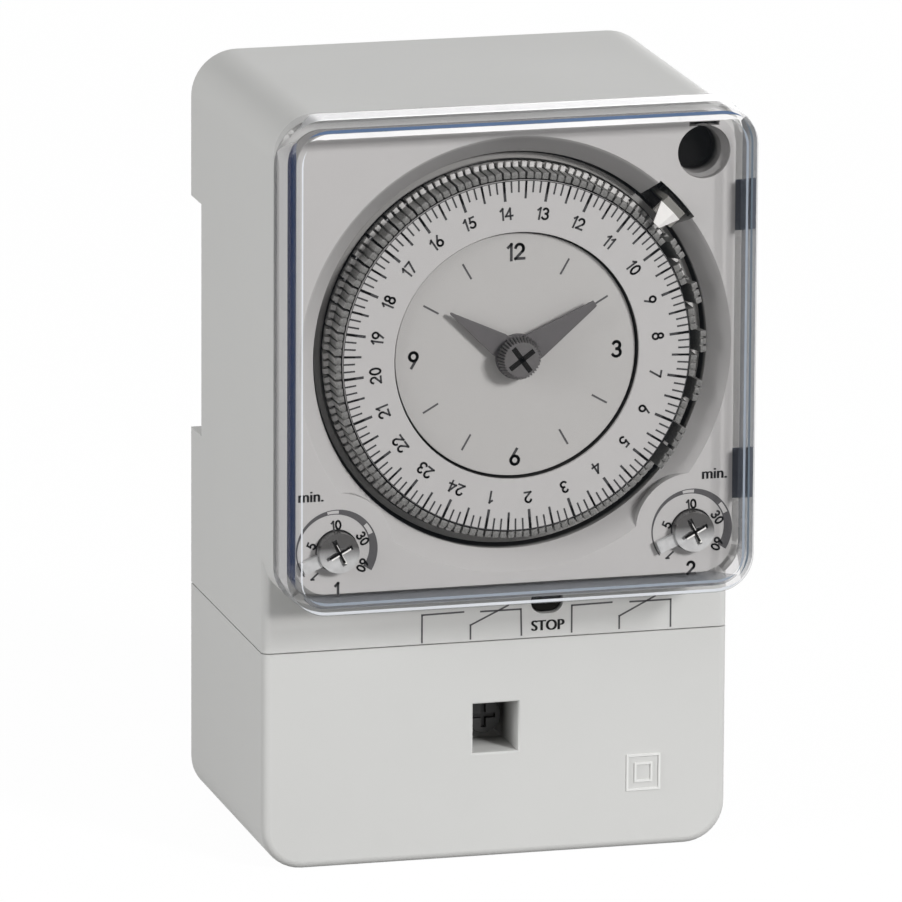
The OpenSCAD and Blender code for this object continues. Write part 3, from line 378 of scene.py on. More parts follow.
def soften(node, width, segments=2, pick=None, tool=None):
    bm = bmesh.new()
    bm.from_mesh(nodes[node].data)
    bmesh.ops.remove_doubles(bm, verts=bm.verts, dist=SAME_PLACE)
    bmesh.ops.dissolve_limit(bm, angle_limit=FLAT, verts=bm.verts, edges=bm.edges)
    weight = bm.edges.layers.float.new("bevel_weight_edge")
    for edge in bm.edges:
        bent = len(edge.link_faces) == 2 and edge.calc_face_angle() > BENT
        chosen = pick is None or pick(*(v.co / MM for v in edge.verts))
        edge[weight] = 1.0 if bent and chosen else 0.0
    shape = bpy.data.objects.new(node + "_shape", from_bmesh(node + "_shape", bm))
    bpy.context.scene.collection.objects.link(shape)
    bevel = shape.modifiers.new("bevel", "BEVEL")
    bevel.limit_method = "WEIGHT"
    bevel.width = width * MM
    bevel.segments = segments
    bevel.use_clamp_overlap = pick is None
    if tool:
        cutter = bpy.data.objects.new("cutter", tool[0])
        bpy.context.scene.collection.objects.link(cutter)
        cut = shape.modifiers.new("cut", "BOOLEAN")
        cut.object, cut.operation, cut.solver = cutter, tool[1], "EXACT"
    slot = slot_of[node]
    piece = place_piece(node + "_piece", evaluated(shape), own_paint.get(node, paints[slot]), body_of[node])
    even = piece.modifiers.new("even", "WEIGHTED_NORMAL")
    even.keep_sharp = True
    if tool:
        bpy.data.objects.remove(cutter)
    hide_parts(node)
    return piece


def on_front(mesh, x, y, z, turned=0.0):
    mesh.transform(Matrix.Translation(Vector((x, y, z)) * MM) @ Matrix.Rotation(-turned, 4, "Y")
                   @ Matrix.Rotation(math.pi / 2, 4, "X"))
    return mesh


# %% [markdown]
# ## Outlines and skins
# Much of this object is a rectangle with round corners, seen from the front. A loop of points runs round such an
# outline, and a skin joins one loop to the next with quads.


# %% Outlines and skins
def outline(half, low, high, r_low, r_high, y, steps=10):
    loop = []
    for k, (sx, z, r) in enumerate(((1, high - r_high, r_high), (-1, high - r_high, r_high),
                                    (-1, low + r_low, r_low), (1, low + r_low, r_low))):
        for i in range(steps + 1):
            a = math.pi / 2 * (k + i / steps)
            loop.append(Vector((sx * (half - r) + r * math.cos(a), y, z + r * math.sin(a))) * MM)
    return loop


def skin(name, loops, closed=False):
    bm = bmesh.new()
    rings = [[bm.verts.new(p) for p in loop] for loop in loops]
    for a, b in zip(rings, rings[1:] + (rings[:1] if closed else [])):
        for i in range(len(a)):
            bm.faces.new((a[i], a[i - 1], b[i - 1], b[i]))
    if not closed:
        bm.faces.new(rings[0])
        bm.faces.new(rings[-1])
    bmesh.ops.recalc_face_normals(bm, faces=bm.faces)
    return from_bmesh(name, bm)


def bar(low, high):
    bm = bmesh.new()
    bmesh.ops.create_cube(bm, size=1.0)
    low, high = Vector(low), Vector(high)
    for v in bm.verts:
        v.co = Vector([(low[i] + high[i]) / 2 + v.co[i] * (high[i] - low[i]) for i in range(3)]) * MM
    return bm


def joined(name, parts):
    whole = bmesh.new()
    for part in parts:
        mesh = from_bmesh("part", part) if isinstance(part, bmesh.types.BMesh) else part
        whole.from_mesh(mesh)
    return from_bmesh(name, whole)


# %% [markdown]
# ## Casing
# The housing and the terminal cover are mouldings with soft front edges. The terminal cover is cut to a block whose
# front edge is rounded all round. The housing loses a long hollow sliver at each lower front edge, which ends where
# the dial block starts.


# %% Casing
SOFT, SPARE, BEYOND = 1.3, 0.005, 0.4
HOOD_TOP, HOOD_BACK, HOOD_R, HOOD_TOP_R, SLIVER_LOW = 60, 40, 6.3, 1.0, 33.0
bends = [math.pi / 2 * i / 8 for i in range(9)]
hood = []
for a in bends:
    inset, back_by = SOFT * (1 - math.sin(a)), SOFT * (1 - math.cos(a))
    hood.append(outline(HALF + SPARE - inset, inset - SPARE, HOOD_TOP, HOOD_R - inset, HOOD_TOP_R,
                        FACE - SPARE + back_by))
hood.append(outline(HALF + SPARE, -SPARE, HOOD_TOP, HOOD_R, HOOD_TOP_R, HOOD_BACK))


def sliver(side):
    arch = [(HALF - SOFT * (1 - math.sin(a)), FACE + SOFT * (1 - math.cos(a))) for a in bends]
    section = [(HALF + BEYOND, FACE - BEYOND), (HALF - SOFT, FACE - BEYOND)] + arch
    section.append((HALF + BEYOND, FACE + SOFT))
    rows = []
    for top in (False, True):
        row = []
        for x, y in section:
            inward = max(0.0, min(x, HALF) - (HALF - COVER_R))
            z = COVER_LOW + COVER_R - math.sqrt(COVER_R ** 2 - inward ** 2) if top else SLIVER_LOW
            row.append(Vector((side * x, y, z)) * MM)
        rows.append(row)
    return skin("sliver", rows)


def no_edge(*ends):
    return False


def mouth_of_tunnel(*ends):
    return all(abs(v.x) < 3.6 and abs(v.z - TUNNEL_Z) < 3.9 and v.y < FACE + 0.1 for v in ends)


soften("housing", 0.2, pick=no_edge, tool=(joined("slivers", [sliver(-1), sliver(1)]), "DIFFERENCE"))
soften("terminal_cover", 0.35, 3, mouth_of_tunnel, (skin("hood", hood), "INTERSECT"))
soften("base_plate", 0.3)
soften("front_plate", 0.15)
print("casing:", [p.name for p in made])

# %% [markdown]
# ## Clear cover
# The cover is one closed skin: loops of a rounded rectangle run up the outside, over the rounded front edge, back
# down the inside and round the rim, and each loop is joined to the next with quads. The coloured ribbons inside its
# walls are painted refraction and painted highlights: they stand in for what such a thick clear edge shows of its
# surroundings, and for the light that its edges catch. A loop's points are numbered from the top right corner, eleven
# to a corner, and a ribbon follows some of them and tapers at its ends.


# %% Clear cover
def cover_loop(inset, y):
    r = max(COVER_R - inset, LEAST_R)
    return outline(HALF - inset, COVER_LOW + inset, COVER_HIGH - inset, r, r, y)


EDGE, INNER_EDGE, THICK, LEAST_R = 2.6, 1.2, 1.6, 0.6
LEAN, MID_LEAN, MID_Y, PANE = 0.35, 0.12, -24, 5.4
outside = [cover_loop(0.0, RIM), cover_loop(MID_LEAN, MID_Y), cover_loop(0.3, -28)]
for a in bends:
    outside.append(cover_loop(LEAN + EDGE * (1 - math.cos(a)), COVER_FRONT + EDGE * (1 - math.sin(a))))
outside += [cover_loop(3.6, COVER_FRONT), cover_loop(PANE, COVER_FRONT)]
inside = [cover_loop(PANE, COVER_FRONT + THICK), cover_loop(3.9, COVER_FRONT + THICK)]
for a in reversed(bends):
    inside.append(cover_loop(LEAN + THICK + INNER_EDGE * (1 - math.cos(a)),
                             COVER_FRONT + THICK + INNER_EDGE * (1 - math.sin(a))))
inside += [cover_loop(MID_LEAN + THICK, MID_Y), cover_loop(THICK, RIM)]
bm = bmesh.new()
bm.from_mesh(skin("cover_wall", outside + inside, closed=True))
long_loop = len(outside[0])
middle = [f for f in bm.faces if all(abs(v.co.y / MM - COVER_FRONT) < 2 for v in f.verts)
          and max(v.co.y for v in f.verts) - min(v.co.y for v in f.verts) > 1.5 * MM]
bmesh.ops.delete(bm, geom=middle, context="FACES")
bm.verts.ensure_lookup_table()
first = (len(outside) - 1) * long_loop
bm.faces.new([bm.verts[first + i] for i in range(long_loop)])
bm.faces.new([bm.verts[first + long_loop + i] for i in range(long_loop)])
bmesh.ops.recalc_face_normals(bm, faces=bm.faces)
cover = place_piece("clear_cover_piece", from_bmesh("clear_cover", bm), paints["clear_plastic"], "cover",
                    sharp=50)
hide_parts("clear_cover")


def ribbon(name, first, second, picks):
    bm = bmesh.new()
    rows = [[bm.verts.new(loop[i]) for i in picks] for loop in (first, second)]
    for i in range(len(picks) - 1):
        bm.faces.new((rows[0][i], rows[0][i + 1], rows[1][i + 1], rows[1][i]))
    return from_bmesh(name, bm)


def edge_paint(name, srgb):
    return surface(name, srgb, rough=0.3, drift=0.05, scale=100)


TOP, LEFT, BOTTOM, RIGHT = range(6, 16), range(17, 27), range(27, 39), [*range(38, 44), *range(6)]
TAPER = 3


def tapered(first, second, picks):
    picks = list(picks)
    for k, i in enumerate(picks):
        share = min(1.0, (k + 0.1) / TAPER, (len(picks) - 0.9 - k) / TAPER)
        second[i] = first[i].lerp(second[i], share)
    return ribbon("tapered", first, second, picks)


def edging(inset, width, y, picks):
    return tapered(cover_loop(inset, y), cover_loop(inset + width, y), picks)


def lining(inset, front, back, picks):
    return tapered(cover_loop(inset, front), cover_loop(inset, back), picks)


def hook_seat(z):
    path = ((33.52, -24.1, z), (34.37, -24.1, z), (34.7, -28.0, z + 1), (35.55, -28.0, z + 1))
    rows = [[Vector((x, y, up + high)) * MM for x, y, up in path] for high in (0.0, SEAT_HIGH)]
    return ribbon("hook_seat", *rows, range(len(path)))


CLEAR = (1, 1, 1)
LINE_Y, REAR, SEAT_HIGH = -29.36, -20.6, 7.7
# Painted light: the blue, teal, navy, grey, pale and slate ribbons and the dark hook seats are painted refraction of
# what lies behind the walls; the white and light ribbons are painted highlights.
tints = {
    "cover_blue": (edge_paint("blue_edge", (82, 107, 142)), [edging(0.8, 0.5, LINE_Y, TOP)]),
    "cover_teal": (see_through("teal_wall", (20, 50, 96), CLEAR, along_wall), [lining(1.7, -24.0, -26.9, LEFT)]),
    "cover_navy": (see_through("navy_wall", (20, 30, 84), CLEAR, along_wall), [lining(1.7, -24.0, -21.2, LEFT)]),
    "cover_side": (see_through("side_wall", (190, 188, 187), CLEAR, edge_on), [lining(0.4, -27.0, REAR, LEFT)]),
    "cover_far_side": (see_through("far_wall", (150, 155, 161), CLEAR, edge_on), [lining(0.4, -28.2, REAR, RIGHT)]),
    "cover_foot": (see_through("foot_wall", (168, 172, 177), CLEAR, edge_on), [lining(1.4, -28.6, REAR, BOTTOM)]),
    "cover_crest": (see_through("crest_wall", (165, 166, 167), CLEAR, edge_on), [lining(0.15, -25.3, -20.5, TOP)]),
    "cover_pale": (edge_paint("pale_edge", (150, 160, 172)),
                   [edging(2.0, 0.35, LINE_Y, RIGHT), edging(2.05, 0.4, LINE_Y, BOTTOM)]),
    "cover_slate": (edge_paint("slate_edge", (92, 106, 118)), [edging(0.95, 0.3, -28.15, RIGHT)]),
    "cover_white": (edge_paint("white_edge_highlight", (252, 252, 252)), [edging(1.35, 0.8, LINE_Y, TOP)]),
    "cover_light": (edge_paint("light_edge_highlight", (226, 230, 235)),
                    [edging(0.45, 0.45, -28.6, BOTTOM), edging(1.95, 0.25, LINE_Y, LEFT)]),
    "cover_dark": (edge_paint("hook_seat_refraction", (70, 75, 85)), [hook_seat(96.9), hook_seat(56.0)]),
}
for name, (paint, parts) in tints.items():
    place_piece(name, joined(name, parts), paint, "cover")
print("clear cover:", len(cover.data.polygons), "faces")

# %% [markdown]
# ## Every other piece
# The remaining nodes are rounded in one loop, with a bevel that suits their size. The setting knob also gets slimmer
# towards its front. The coil spring is left out, because a softened copy would keep its facets: it is wound again
# below.

# %% Every other piece
widths = {"terminal_block": 0.25, "rail_foot": 0.25, "program_ring": 0.04, "centre_dial": 0.1, "setting_knob": 0.08,
          "hour_hand": 0.08, "minute_hand": 0.08, "switch_lever": 0.12, "stop_button": 0.2,
          "relay_1": 0.3, "relay_2": 0.3, "capacitor": 0.4, "motor": 0.4, "delay_knob_1": 0.12, "delay_knob_2": 0.12}
done = {"housing", "terminal_cover", "base_plate", "front_plate", "clear_cover", "rail_foot_spring",
        "index_pointer"}
TAPPET_EDGE, COMMON_EDGE = 0.03, 0.06
KNOB_SLIM, KNOB_BACK, KNOB_LONG = 0.16, -25.9, 1.7
for node in nodes:
    if node not in done:
        piece = soften(node, widths.get(node, TAPPET_EDGE if node.startswith("tappet") else COMMON_EDGE))
        if node == "setting_knob":
            for v in piece.data.vertices:
                slim = 1 - KNOB_SLIM * (KNOB_BACK - v.co.y / MM) / KNOB_LONG
                v.co = Vector((v.co.x * slim, v.co.y, DIAL * MM + (v.co.z - DIAL * MM) * slim))
print(len(made), "pieces so far")

# %% [markdown]
# ## Foot spring
# A round wire swept along a helix.

# %% Foot spring
low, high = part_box("rail_foot_spring")
TURNS, WIRE_R, STEPS, SIDES = 8, 0.25, 24, 10
coil_r = (high[0] - low[0]) / 2 / MM - WIRE_R
mid = [(low[i] + high[i]) / 2 / MM for i in range(3)]
length = (high[2] - low[2]) / MM - 2 * WIRE_R
rings = []
for i in range(TURNS * STEPS + 1):
    a = 2 * math.pi * i / STEPS
    out = Vector((math.cos(a), math.sin(a), 0))
    centre = Vector((mid[0], mid[1], low[2] / MM + WIRE_R + length * i / (TURNS * STEPS))) + out * coil_r
    rings.append([(centre + (out * math.cos(b) + Vector((0, 0, math.sin(b)))) * WIRE_R) * MM
                  for b in (2 * math.pi * k / SIDES for k in range(SIDES))])
spring = place_piece("rail_foot_spring_piece", skin("rail_foot_spring", rings), paints["steel"],
                     body_of["rail_foot_spring"])
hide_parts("rail_foot_spring")
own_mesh(spring)
print("spring of", TURNS, "turns")

# %% [markdown]
# ## Marks of the 24 hour ring
# Marks that repeat round a dial suit Geometry Nodes: a row of points is bent into a circle, a small flat bar is set
# on each point, and the bars are made real. The same group draws the hour, half hour and ten minute marks.


# %% Marks of the 24 hour ring
def marks_group():
    group = bpy.data.node_groups.new("Marks in a circle", "GeometryNodeTree")
    face = group.interface
    for name, kind in (("Count", "NodeSocketInt"), ("Start", "NodeSocketFloat"), ("Radius", "NodeSocketFloat"),
                       ("Length", "NodeSocketFloat"), ("Width", "NodeSocketFloat"), ("Ink", "NodeSocketMaterial")):
        face.new_socket(name, in_out="INPUT", socket_type=kind)
    face.new_socket("Geometry", in_out="OUTPUT", socket_type="NodeSocketGeometry")

    def add(kind, links, **settings):
        node = group.nodes.new(kind)
        for key, value in settings.items():
            setattr(node, key, value)
        for key, source in links.items():
            if hasattr(source, "is_output"):
                group.links.new(source, node.inputs[key])
            else:
                node.inputs[key].default_value = source
        return node

    given = add("NodeGroupInput", {}).outputs
    points = add("GeometryNodePoints", {"Count": given["Count"]})
    index = add("GeometryNodeInputIndex", {})
    share = add("ShaderNodeMath", {0: index.outputs[0], 1: given["Count"]}, operation="DIVIDE")
    angle = add("ShaderNodeMath", {0: share.outputs[0], 1: 2 * math.pi, 2: given["Start"]},
                operation="MULTIPLY_ADD").outputs[0]
    arm = add("ShaderNodeCombineXYZ", {"X": given["Radius"]})
    spin = add("ShaderNodeCombineXYZ", {"Z": angle})
    bent = add("ShaderNodeVectorRotate", {"Vector": arm.outputs[0], "Angle": angle}, rotation_type="Z_AXIS")
    moved = add("GeometryNodeSetPosition", {"Geometry": points.outputs[0], "Position": bent.outputs[0]})
    flat = add("GeometryNodeMeshGrid", {"Size X": given["Length"], "Size Y": given["Width"],
                                        "Vertices X": 2, "Vertices Y": 2})
    on = add("GeometryNodeInstanceOnPoints", {"Points": moved.outputs[0], "Instance": flat.outputs[0],
                                              "Rotation": spin.outputs[0]})
    real = add("GeometryNodeRealizeInstances", {"Geometry": on.outputs[0]})
    inked = add("GeometryNodeSetMaterial", {"Geometry": real.outputs[0], "Material": given["Ink"]})
    add("NodeGroupOutput", {"Geometry": inked.outputs[0]})
    return group


marks = marks_group()


def marks_mesh(count, start, inner, outer, width):
    holder = bpy.data.objects.new("marks", bpy.data.meshes.new("marks"))
    bpy.context.scene.collection.objects.link(holder)
    modifier = holder.modifiers.new("marks", "NODES")
    modifier.node_group = marks
    sizes = {"Count": count, "Start": math.radians(start), "Radius": (inner + outer) / 2 * MM,
             "Length": (outer - inner) * MM, "Width": width * MM, "Ink": ink}
    for item in marks.interface.items_tree:
        if item.name in sizes:
            modifier[item.identifier] = sizes[item.name]
    return evaluated(holder)


def annulus(inner, outer, steps=180):
    bm = bmesh.new()
    rows = [[bm.verts.new(Vector((r * math.cos(a), r * math.sin(a), 0)) * MM)
             for a in (2 * math.pi * i / steps for i in range(steps))] for r in (inner, outer)]
    for i in range(steps):
        bm.faces.new((rows[0][i - 1], rows[1][i - 1], rows[1][i], rows[0][i]))
    return bm


HOUR_14 = 94.8
ticks = joined("ring_ticks", [
    marks_mesh(24, HOUR_14, 23.5, 26.5, 0.42), marks_mesh(24, HOUR_14 + 7.5, 23.8, 26.5, 0.34),
    marks_mesh(144, HOUR_14, 24.75, 26.5, 0.27), annulus(26.46, 26.58)])
place_piece("ring_ticks", on_front(ticks, 0, RING_Y - PROUD, DIAL), ink, "program_dial")
hours = joined("clock_ticks", [marks_mesh(12, 0, 13.6, 16.3, 0.3)])
bm = bmesh.new()
bm.from_mesh(hours)
numbered = [v for v in bm.verts if min(abs(v.co.x), abs(v.co.y)) < 2 * MM]
bmesh.ops.delete(bm, geom=numbered, context="VERTS")
place_piece("clock_ticks", on_front(from_bmesh("clock_ticks", bm), 0, CLOCK_Y - PROUD, DIAL), grey_ink, "base")
print("ticks:", len(ticks.polygons))

# %% [markdown]
# ## Printed numbers and words
# The digits are drawn with a pen of one width, from straight lines and arcs in a box one unit high, because that is
# how the print looks. Words are text objects turned into flat meshes and stretched to the box that they fill; three
# copies side by side make them bold.


# %% Printed numbers and words
def arc(x, y, rx, ry, start, end, steps=16):
    turns = [math.radians(start + (end - start) * i / steps) for i in range(steps + 1)]
    return [(x + rx * math.cos(a), y + ry * math.sin(a)) for a in turns]


DIGITS = {
    "0": [arc(0.31, 0.5, 0.25, 0.44, 0, 360)],
    "1": [[(0.05, 0.76), (0.24, 0.94), (0.24, 0.0)]],
    "2": [arc(0.3, 0.67, 0.24, 0.26, 165, -38) + [(0.06, 0.07), (0.58, 0.07)]],
    "3": [arc(0.27, 0.72, 0.21, 0.22, 150, -85), arc(0.27, 0.28, 0.25, 0.23, 85, -150)],
    "4": [[(0.44, 0.0), (0.44, 0.9), (0.04, 0.27), (0.62, 0.27)]],
    "5": [[(0.52, 0.93), (0.2, 0.93), (0.13, 0.53)] + arc(0.27, 0.32, 0.25, 0.26, 125, -145)],
    "6": [arc(0.31, 0.3, 0.24, 0.25, 0, 360), [(0.1, 0.42), (0.42, 0.97)]],
    "7": [[(0.05, 0.93), (0.55, 0.93), (0.2, 0.0)]],
    "8": [arc(0.3, 0.73, 0.19, 0.21, 0, 360), arc(0.3, 0.29, 0.24, 0.24, 0, 360)],
    "9": [arc(0.31, 0.7, 0.24, 0.25, 0, 360), [(0.52, 0.58), (0.2, 0.03)]],
}


def pen(lines, width):
    bm = bmesh.new()
    for line in lines:
        for start, end in zip(line, line[1:]):
            a, b = Vector((*start, 0)), Vector((*end, 0))
            along = (b - a).normalized() * width / 2
            across = Vector((-along.y, along.x, 0))
            corners = (a - along + across, a - along - across, b + along - across, b + along + across)
            bm.faces.new([bm.verts.new(c * MM) for c in corners])
    return bm


def number(text, height, weight):
    lines, x = [], 0.0
    for digit in text:
        lines += [[((x + px) * height, py * height) for px, py in line] for line in DIGITS[digit]]
        x += 0.44 if digit == "1" else 0.74
    middle = (x - 0.12) * height / 2
    return from_bmesh(text, pen([[(px - middle, py - height / 2) for px, py in line] for line in lines],
                                weight * height))


def round_dial(text, r, degrees, height, y, weight, x=0.0, z=DIAL, upright=False):
    a = math.radians(degrees)
    return on_front(number(text, height, weight), x + r * math.cos(a), y, z + r * math.sin(a),
                    0 if upright else a - math.pi / 2)


DIAL_WEIGHT = 0.17
numbers = joined("ring_numbers", [
    round_dial(str(h), 21.7, HOUR_14 + (h - 14) * 15, 1.78, RING_Y - PROUD, DIAL_WEIGHT) for h in range(1, 25)])
place_piece("ring_numbers", numbers, ink, "program_dial")
clock = joined("clock_numbers", [
    round_dial(t, 15.6, 90 - 30 * int(t), 2.5, CLOCK_Y - PROUD, DIAL_WEIGHT, upright=True)
    for t in ("12", "3", "6", "9")])
place_piece("clock_numbers", clock, ink, "base")


def lettering(text, height, width):
    font = bpy.data.curves.new("text", "FONT")
    font.body = text
    holder = bpy.data.objects.new("text", font)
    bpy.context.scene.collection.objects.link(holder)
    mesh = evaluated(holder)
    xs, ys = [v.co.x for v in mesh.vertices], [v.co.y for v in mesh.vertices]
    middle = Vector(((max(xs) + min(xs)) / 2, (max(ys) + min(ys)) / 2, 0))
    mesh.transform(Matrix.Diagonal((width * MM / (max(xs) - min(xs)), height * MM / (max(ys) - min(ys)), 1, 1))
                   @ Matrix.Translation(-middle))
    return mesh


def word(text, x0, x1, z0, z1, y, bold):
    return [on_front(lettering(text, z1 - z0, x1 - x0 - bold), (x0 + x1) / 2 + shift, y, (z0 + z1) / 2)
            for shift in (-bold / 2, 0, bold / 2)]


labels = joined("plate_labels", word("min.", -33.2, -29.3, 59.2, 60.8, FRONT, 0.16)
                + word("min.", 28.8, 32.7, 59.2, 60.8, FRONT, 0.16)
                + [on_front(number("1", 2.05, 0.2), -27.25, FRONT, 45.7),
                   on_front(number("2", 2.05, 0.19), 27.25, FRONT, 45.7)])
place_piece("plate_labels", labels, ink, "base")
place_piece("stop_label", joined("stop_label", word("STOP", 5.4, 10.6, 34.7, 36.3, STRIP, 0.2)), ink, "base")
lines = [
    ((-11.5, 34.0), (-11.5, 38.2), (-5.1, 38.3)), ((-4.0, 34.1), (-4.0, 36.2), (1.8, 38.9)),
    ((-2.4, 38.2), (3.8, 38.2), (3.9, 34.2)), ((11.7, 34.2), (11.7, 38.3), (17.9, 38.4)),
    ((19.1, 34.3), (19.1, 36.2), (24.65, 38.96)), ((20.8, 38.3), (27.1, 38.3), (27.1, 34.15))]
symbols = on_front(from_bmesh("contact_symbols", pen(lines, 0.27)), 0, STRIP, 0)
place_piece("contact_symbols", symbols, grey_ink, "base")
print("prints:", len(numbers.polygons) + len(clock.polygons) + len(labels.polygons), "faces")

# %% [markdown]
# ## Scales of the delay trimmers
# A line that thickens clockwise into a dark wedge. Two lengths of the wedge are left light, with thin outlines.


# %% Scales of the delay trimmers
SCALE_R, LINE_WIDTH, GROWTH, SWEEP = 6.25, 0.22, 1.25, 212


def wedge_width(a):
    return LINE_WIDTH if a > 180 else LINE_WIDTH + GROWTH * (180 - a) / SWEEP


def wedge(x, z, start, end, parts=((0.0, 1.0),), steps=24):
    bm = bmesh.new()
    for low, high in parts:
        edge = []
        for i in range(steps + 1):
            a = start + (end - start) * i / steps
            c, s = math.cos(math.radians(a)), math.sin(math.radians(a))
            radii = (SCALE_R - wedge_width(a) * low, SCALE_R - wedge_width(a) * high)
            edge.append([bm.verts.new(Vector((x + r * c, FRONT, z + r * s)) * MM) for r in radii])
        for a, b in zip(edge, edge[1:]):
            bm.faces.new((a[0], b[0], b[1], a[1]))
    for face in bm.faces:
        face.normal_update()
        if face.normal.y > 0:
            face.normal_flip()
    return bm


scales, steps = [], []
for x in (-TRIMMER_X, TRIMMER_X):
    scales += [wedge(x, TRIMMER_Z, *span) for span in ((217, 104), (87, 41), (24, -32))]
    scales += [wedge(x, TRIMMER_Z, *span, parts=((0.0, 0.2), (0.8, 1.0))) for span in ((104, 87), (41, 24))]
    steps += [round_dial(t, r, a, 1.4, FRONT, 0.2, x + 0.3, TRIMMER_Z - 0.6) for t, r, a in (
        ("1", 4.9, 222), ("5", 4.45, 160), ("10", 4.5, 95), ("30", 4.3, 31), ("60", 4.1, -27))]
place_piece("trimmer_scales", joined("trimmer_scales", scales), grey_ink, "base")
place_piece("trimmer_numbers", joined("trimmer_numbers", steps), ink, "base")
print("trimmer scales:", len(scales), "lengths")

# %% [markdown]
# ## Dark recesses
# The cross recesses of the knobs, the hole in the corner of the plate and the slot above it are deep, and their shade
# is painted: dark crosses lie just in front of the knobs' faces, and dark sheets lie behind the hole and the slot. A
# light line runs beside the crosses of the clear delay knobs, where their edges catch the light. A short tube behind
# the corner hole keeps its light wall.


# %% Dark recesses
def cross_bars(x, z, y, reach, width, degrees):
    bars = []
    for turn in (degrees, degrees + 90):
        a = math.radians(turn)
        tip = Vector((math.cos(a), math.sin(a))) * reach
        bars.append([(-tip.x, -tip.y), (tip.x, tip.y)])
    return on_front(from_bmesh("cross", pen(bars, width)), x, y, z)


knob_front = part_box("setting_knob")[0][1] / MM
knob_cross_shade = cross_bars(0, DIAL, knob_front - PROUD, reach=1.85, width=0.8, degrees=36)
place_piece("knob_cross_shade", knob_cross_shade, shade, "minute_train")
for side, x in ((1, -TRIMMER_X), (2, TRIMMER_X)):
    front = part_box("delay_knob_%d" % side)[0][1] / MM
    dark = cross_bars(x, TRIMMER_Z, front - PROUD, reach=1.5, width=0.38, degrees=28)
    light = cross_bars(x + 0.25, TRIMMER_Z - 0.2, front - PROUD / 2, reach=1.5, width=0.3, degrees=28)
    place_piece("delay_cross_%d" % side, dark, shade, "delay_%d" % side)
    place_piece("delay_glint_%d" % side, light, paints["pointer_plastic"], "delay_%d" % side)

HOLE_X, HOLE_Z, HOLE_STEPS = 28.65, 109.1, 48
FUNNEL = ((4.045, 0.0, -23.0), (3.6, -0.45, -22.35), (3.4, -0.6, -18.5))
walls = [[Vector((HOLE_X + shift + r * math.cos(a), y, HOLE_Z + r * math.sin(a))) * MM
          for a in (2 * math.pi * i / HOLE_STEPS for i in range(HOLE_STEPS))] for r, shift, y in FUNNEL]
funnel = [ribbon("corner_tube", *pair, [*range(HOLE_STEPS), 0]) for pair in zip(walls, walls[1:])]
place_piece("corner_tube", joined("corner_tube", funnel), paints["plate_plastic"], "base")
# Painted shade: dark sheets behind the corner hole and the slot above it stand for the dark inside of the housing.
shades = [bar((26.0, -22.2, 112.9), (31.2, -22.1, 113.8)), bar((24.4, -18.5, 105.4), (31.7, -18.4, 112.8))]
place_piece("corner_shade", joined("corner_shade", shades), shade, "base")
print("recesses darkened")

# %% [markdown]
# ## Index
# A white wedge with a ridge along its middle, so that one flank faces the light and the other falls into shade. Its
# corners are given by their distance from the dial's axis and their angle.


# %% Index
def on_ring(r, degrees, y):
    a = math.radians(degrees)
    return Vector((r * math.cos(a), y, DIAL + r * math.sin(a))) * MM


LEVER_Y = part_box("index_pointer")[1][1] / MM
TIP_R, TAIL_R, BROW, RIDGE = 28.2, 31.3, 0.25, 0.6
rim = [(TAIL_R, 38.9), (TIP_R, 41.1), (TIP_R, 43.6), (TAIL_R, 46.3)]
bm = bmesh.new()
foot = [bm.verts.new(on_ring(r, a, LEVER_Y)) for r, a in rim]
brow = [bm.verts.new(v.co + Vector((0, -BROW * MM, 0))) for v in foot]
ridge = [bm.verts.new(on_ring(r, a, LEVER_Y - RIDGE)) for r, a in ((TAIL_R, 41.6), (TIP_R, 41.9))]
for i in range(4):
    bm.faces.new((foot[i - 1], foot[i], brow[i], brow[i - 1]))
bm.faces.new(foot)
bm.faces.new((brow[0], brow[1], ridge[1], ridge[0]))
bm.faces.new((ridge[0], ridge[1], brow[2], brow[3]))
bm.faces.new((brow[1], brow[2], ridge[1]))
bm.faces.new((brow[3], brow[0], ridge[0]))
bmesh.ops.recalc_face_normals(bm, faces=bm.faces)
index = place_piece("index_pointer_piece", from_bmesh("index", bm), paints["pointer_plastic"], "lever",
                    sharp=10)
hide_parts("index_pointer")
print("index of", len(index.data.polygons), "faces")

# %% [markdown]
# ## Raised sign on the terminal cover
# Two squares, one inside the other, stand a fifth of a millimetre proud.

# %% Raised sign
sign = []
WIDE, RAISED, SUNK = 0.3, 0.2, 0.05
for x0, x1, z0, z1 in ((20.4, 25.7, 8.9, 14.5), (21.65, 24.45, 10.2, 13.2)):
    for lo, hi in (((x0, z0), (x1, z0 + WIDE)), ((x0, z1 - WIDE), (x1, z1)),
                   ((x0, z0 + WIDE), (x0 + WIDE, z1 - WIDE)), ((x1 - WIDE, z0 + WIDE), (x1, z1 - WIDE))):
        sign.append(bar((lo[0], FACE - RAISED, lo[1]), (hi[0], FACE + SUNK, hi[1])))
place_piece("double_square", joined("double_square", sign), relief, "terminal_hood")
print("sign of", len(sign), "bars")

# %% [markdown]
# ## Floor, light and background
# A pale floor keeps the shadow. A lamp from the upper right front gives the shadows of the hands, a broad one from
# the left lights the side wall, one behind shows the back, and the world gives a little light from all around, with
# a touch more from above. What the camera, glass and metal see of the floor and the world is plain white.


# %% Floor, light and background
def background_rays(tree):
    rays = tree.nodes.new("ShaderNodeLightPath").outputs
    seen = Value(tree, rays["Is Camera Ray"])
    for name in ("Is Glossy Ray", "Is Transmission Ray"):
        seen = seen.math("MAXIMUM", Value(tree, rays[name]))
    return seen


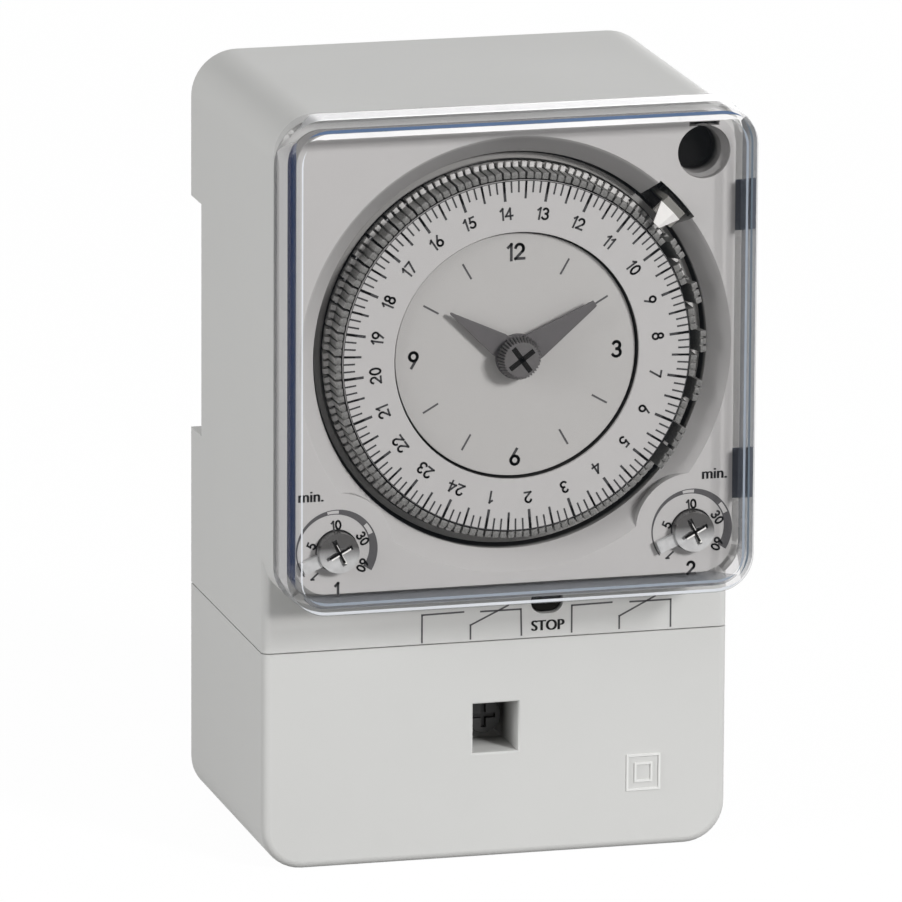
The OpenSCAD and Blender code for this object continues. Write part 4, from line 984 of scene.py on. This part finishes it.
bm = bmesh.new()
FLOOR_SIZE, FLOOR_GLOW, FLOOR_SHARE = 3.0, 1.08, 0.9
bmesh.ops.create_grid(bm, x_segments=1, y_segments=1, size=FLOOR_SIZE)
floor = bpy.data.objects.new("floor", from_bmesh("floor", bm))
paper = surface("floor_paper", (150, 150, 150), 0.9, 0.004, 3)
tree = paper.node_tree
seen = background_rays(tree)
white = seen.of("ShaderNodeEmission", (), {"Color": (1, 1, 1, 1), "Strength": FLOOR_GLOW})
both = seen.of("ShaderNodeMixShader", (), {"Fac": seen * FLOOR_SHARE, 2: white,
                                           1: Value(tree, tree.nodes["Principled BSDF"].outputs[0])})
tree.links.new(both.socket, tree.nodes["Material Output"].inputs["Surface"])
floor.data.materials.append(paper)
bpy.context.scene.collection.objects.link(floor)

world = bpy.data.worlds.new("studio")
bpy.context.scene.world = world
world.use_nodes = True
tree = world.node_tree
AMBIENT, FROM_ABOVE = 0.25, 0.01
sky = Value(tree, tree.nodes.new("ShaderNodeTexCoord").outputs["Generated"]).axis(2) * FROM_ABOVE + AMBIENT
tree.links.new(sky.math("MAXIMUM", background_rays(tree)).socket, tree.nodes["Background"].inputs["Strength"])
tree.nodes["Background"].inputs["Color"].default_value = (1, 1, 1, 1)


AIM = Vector((0, 0, 0.07))


def lamp(name, at, size, power):
    light = bpy.data.lights.new(name, "AREA")
    light.size = size
    light.energy = power
    holder = bpy.data.objects.new(name, light)
    holder.location = at
    holder.rotation_euler = (AIM - Vector(at)).to_track_quat("-Z", "Y").to_euler()
    bpy.context.scene.collection.objects.link(holder)


lamp("key", (0.56, -0.98, 0.54), 0.22, 11.5)
lamp("fill", (-1.02, -0.28, 0.38), 0.6, 5.4)
lamp("back", (0.5, 1.2, 0.08), 0.8, 5.0)
print("three lamps and a world of strength", AMBIENT)

# %% [markdown]
# ## Count of pieces
# The view layer is brought up to date, and the pieces and their faces are counted.

# %% Count of pieces
bpy.context.view_layer.update()
print("pieces:", len(made), "faces:", sum(len(p.data.polygons) for p in made))
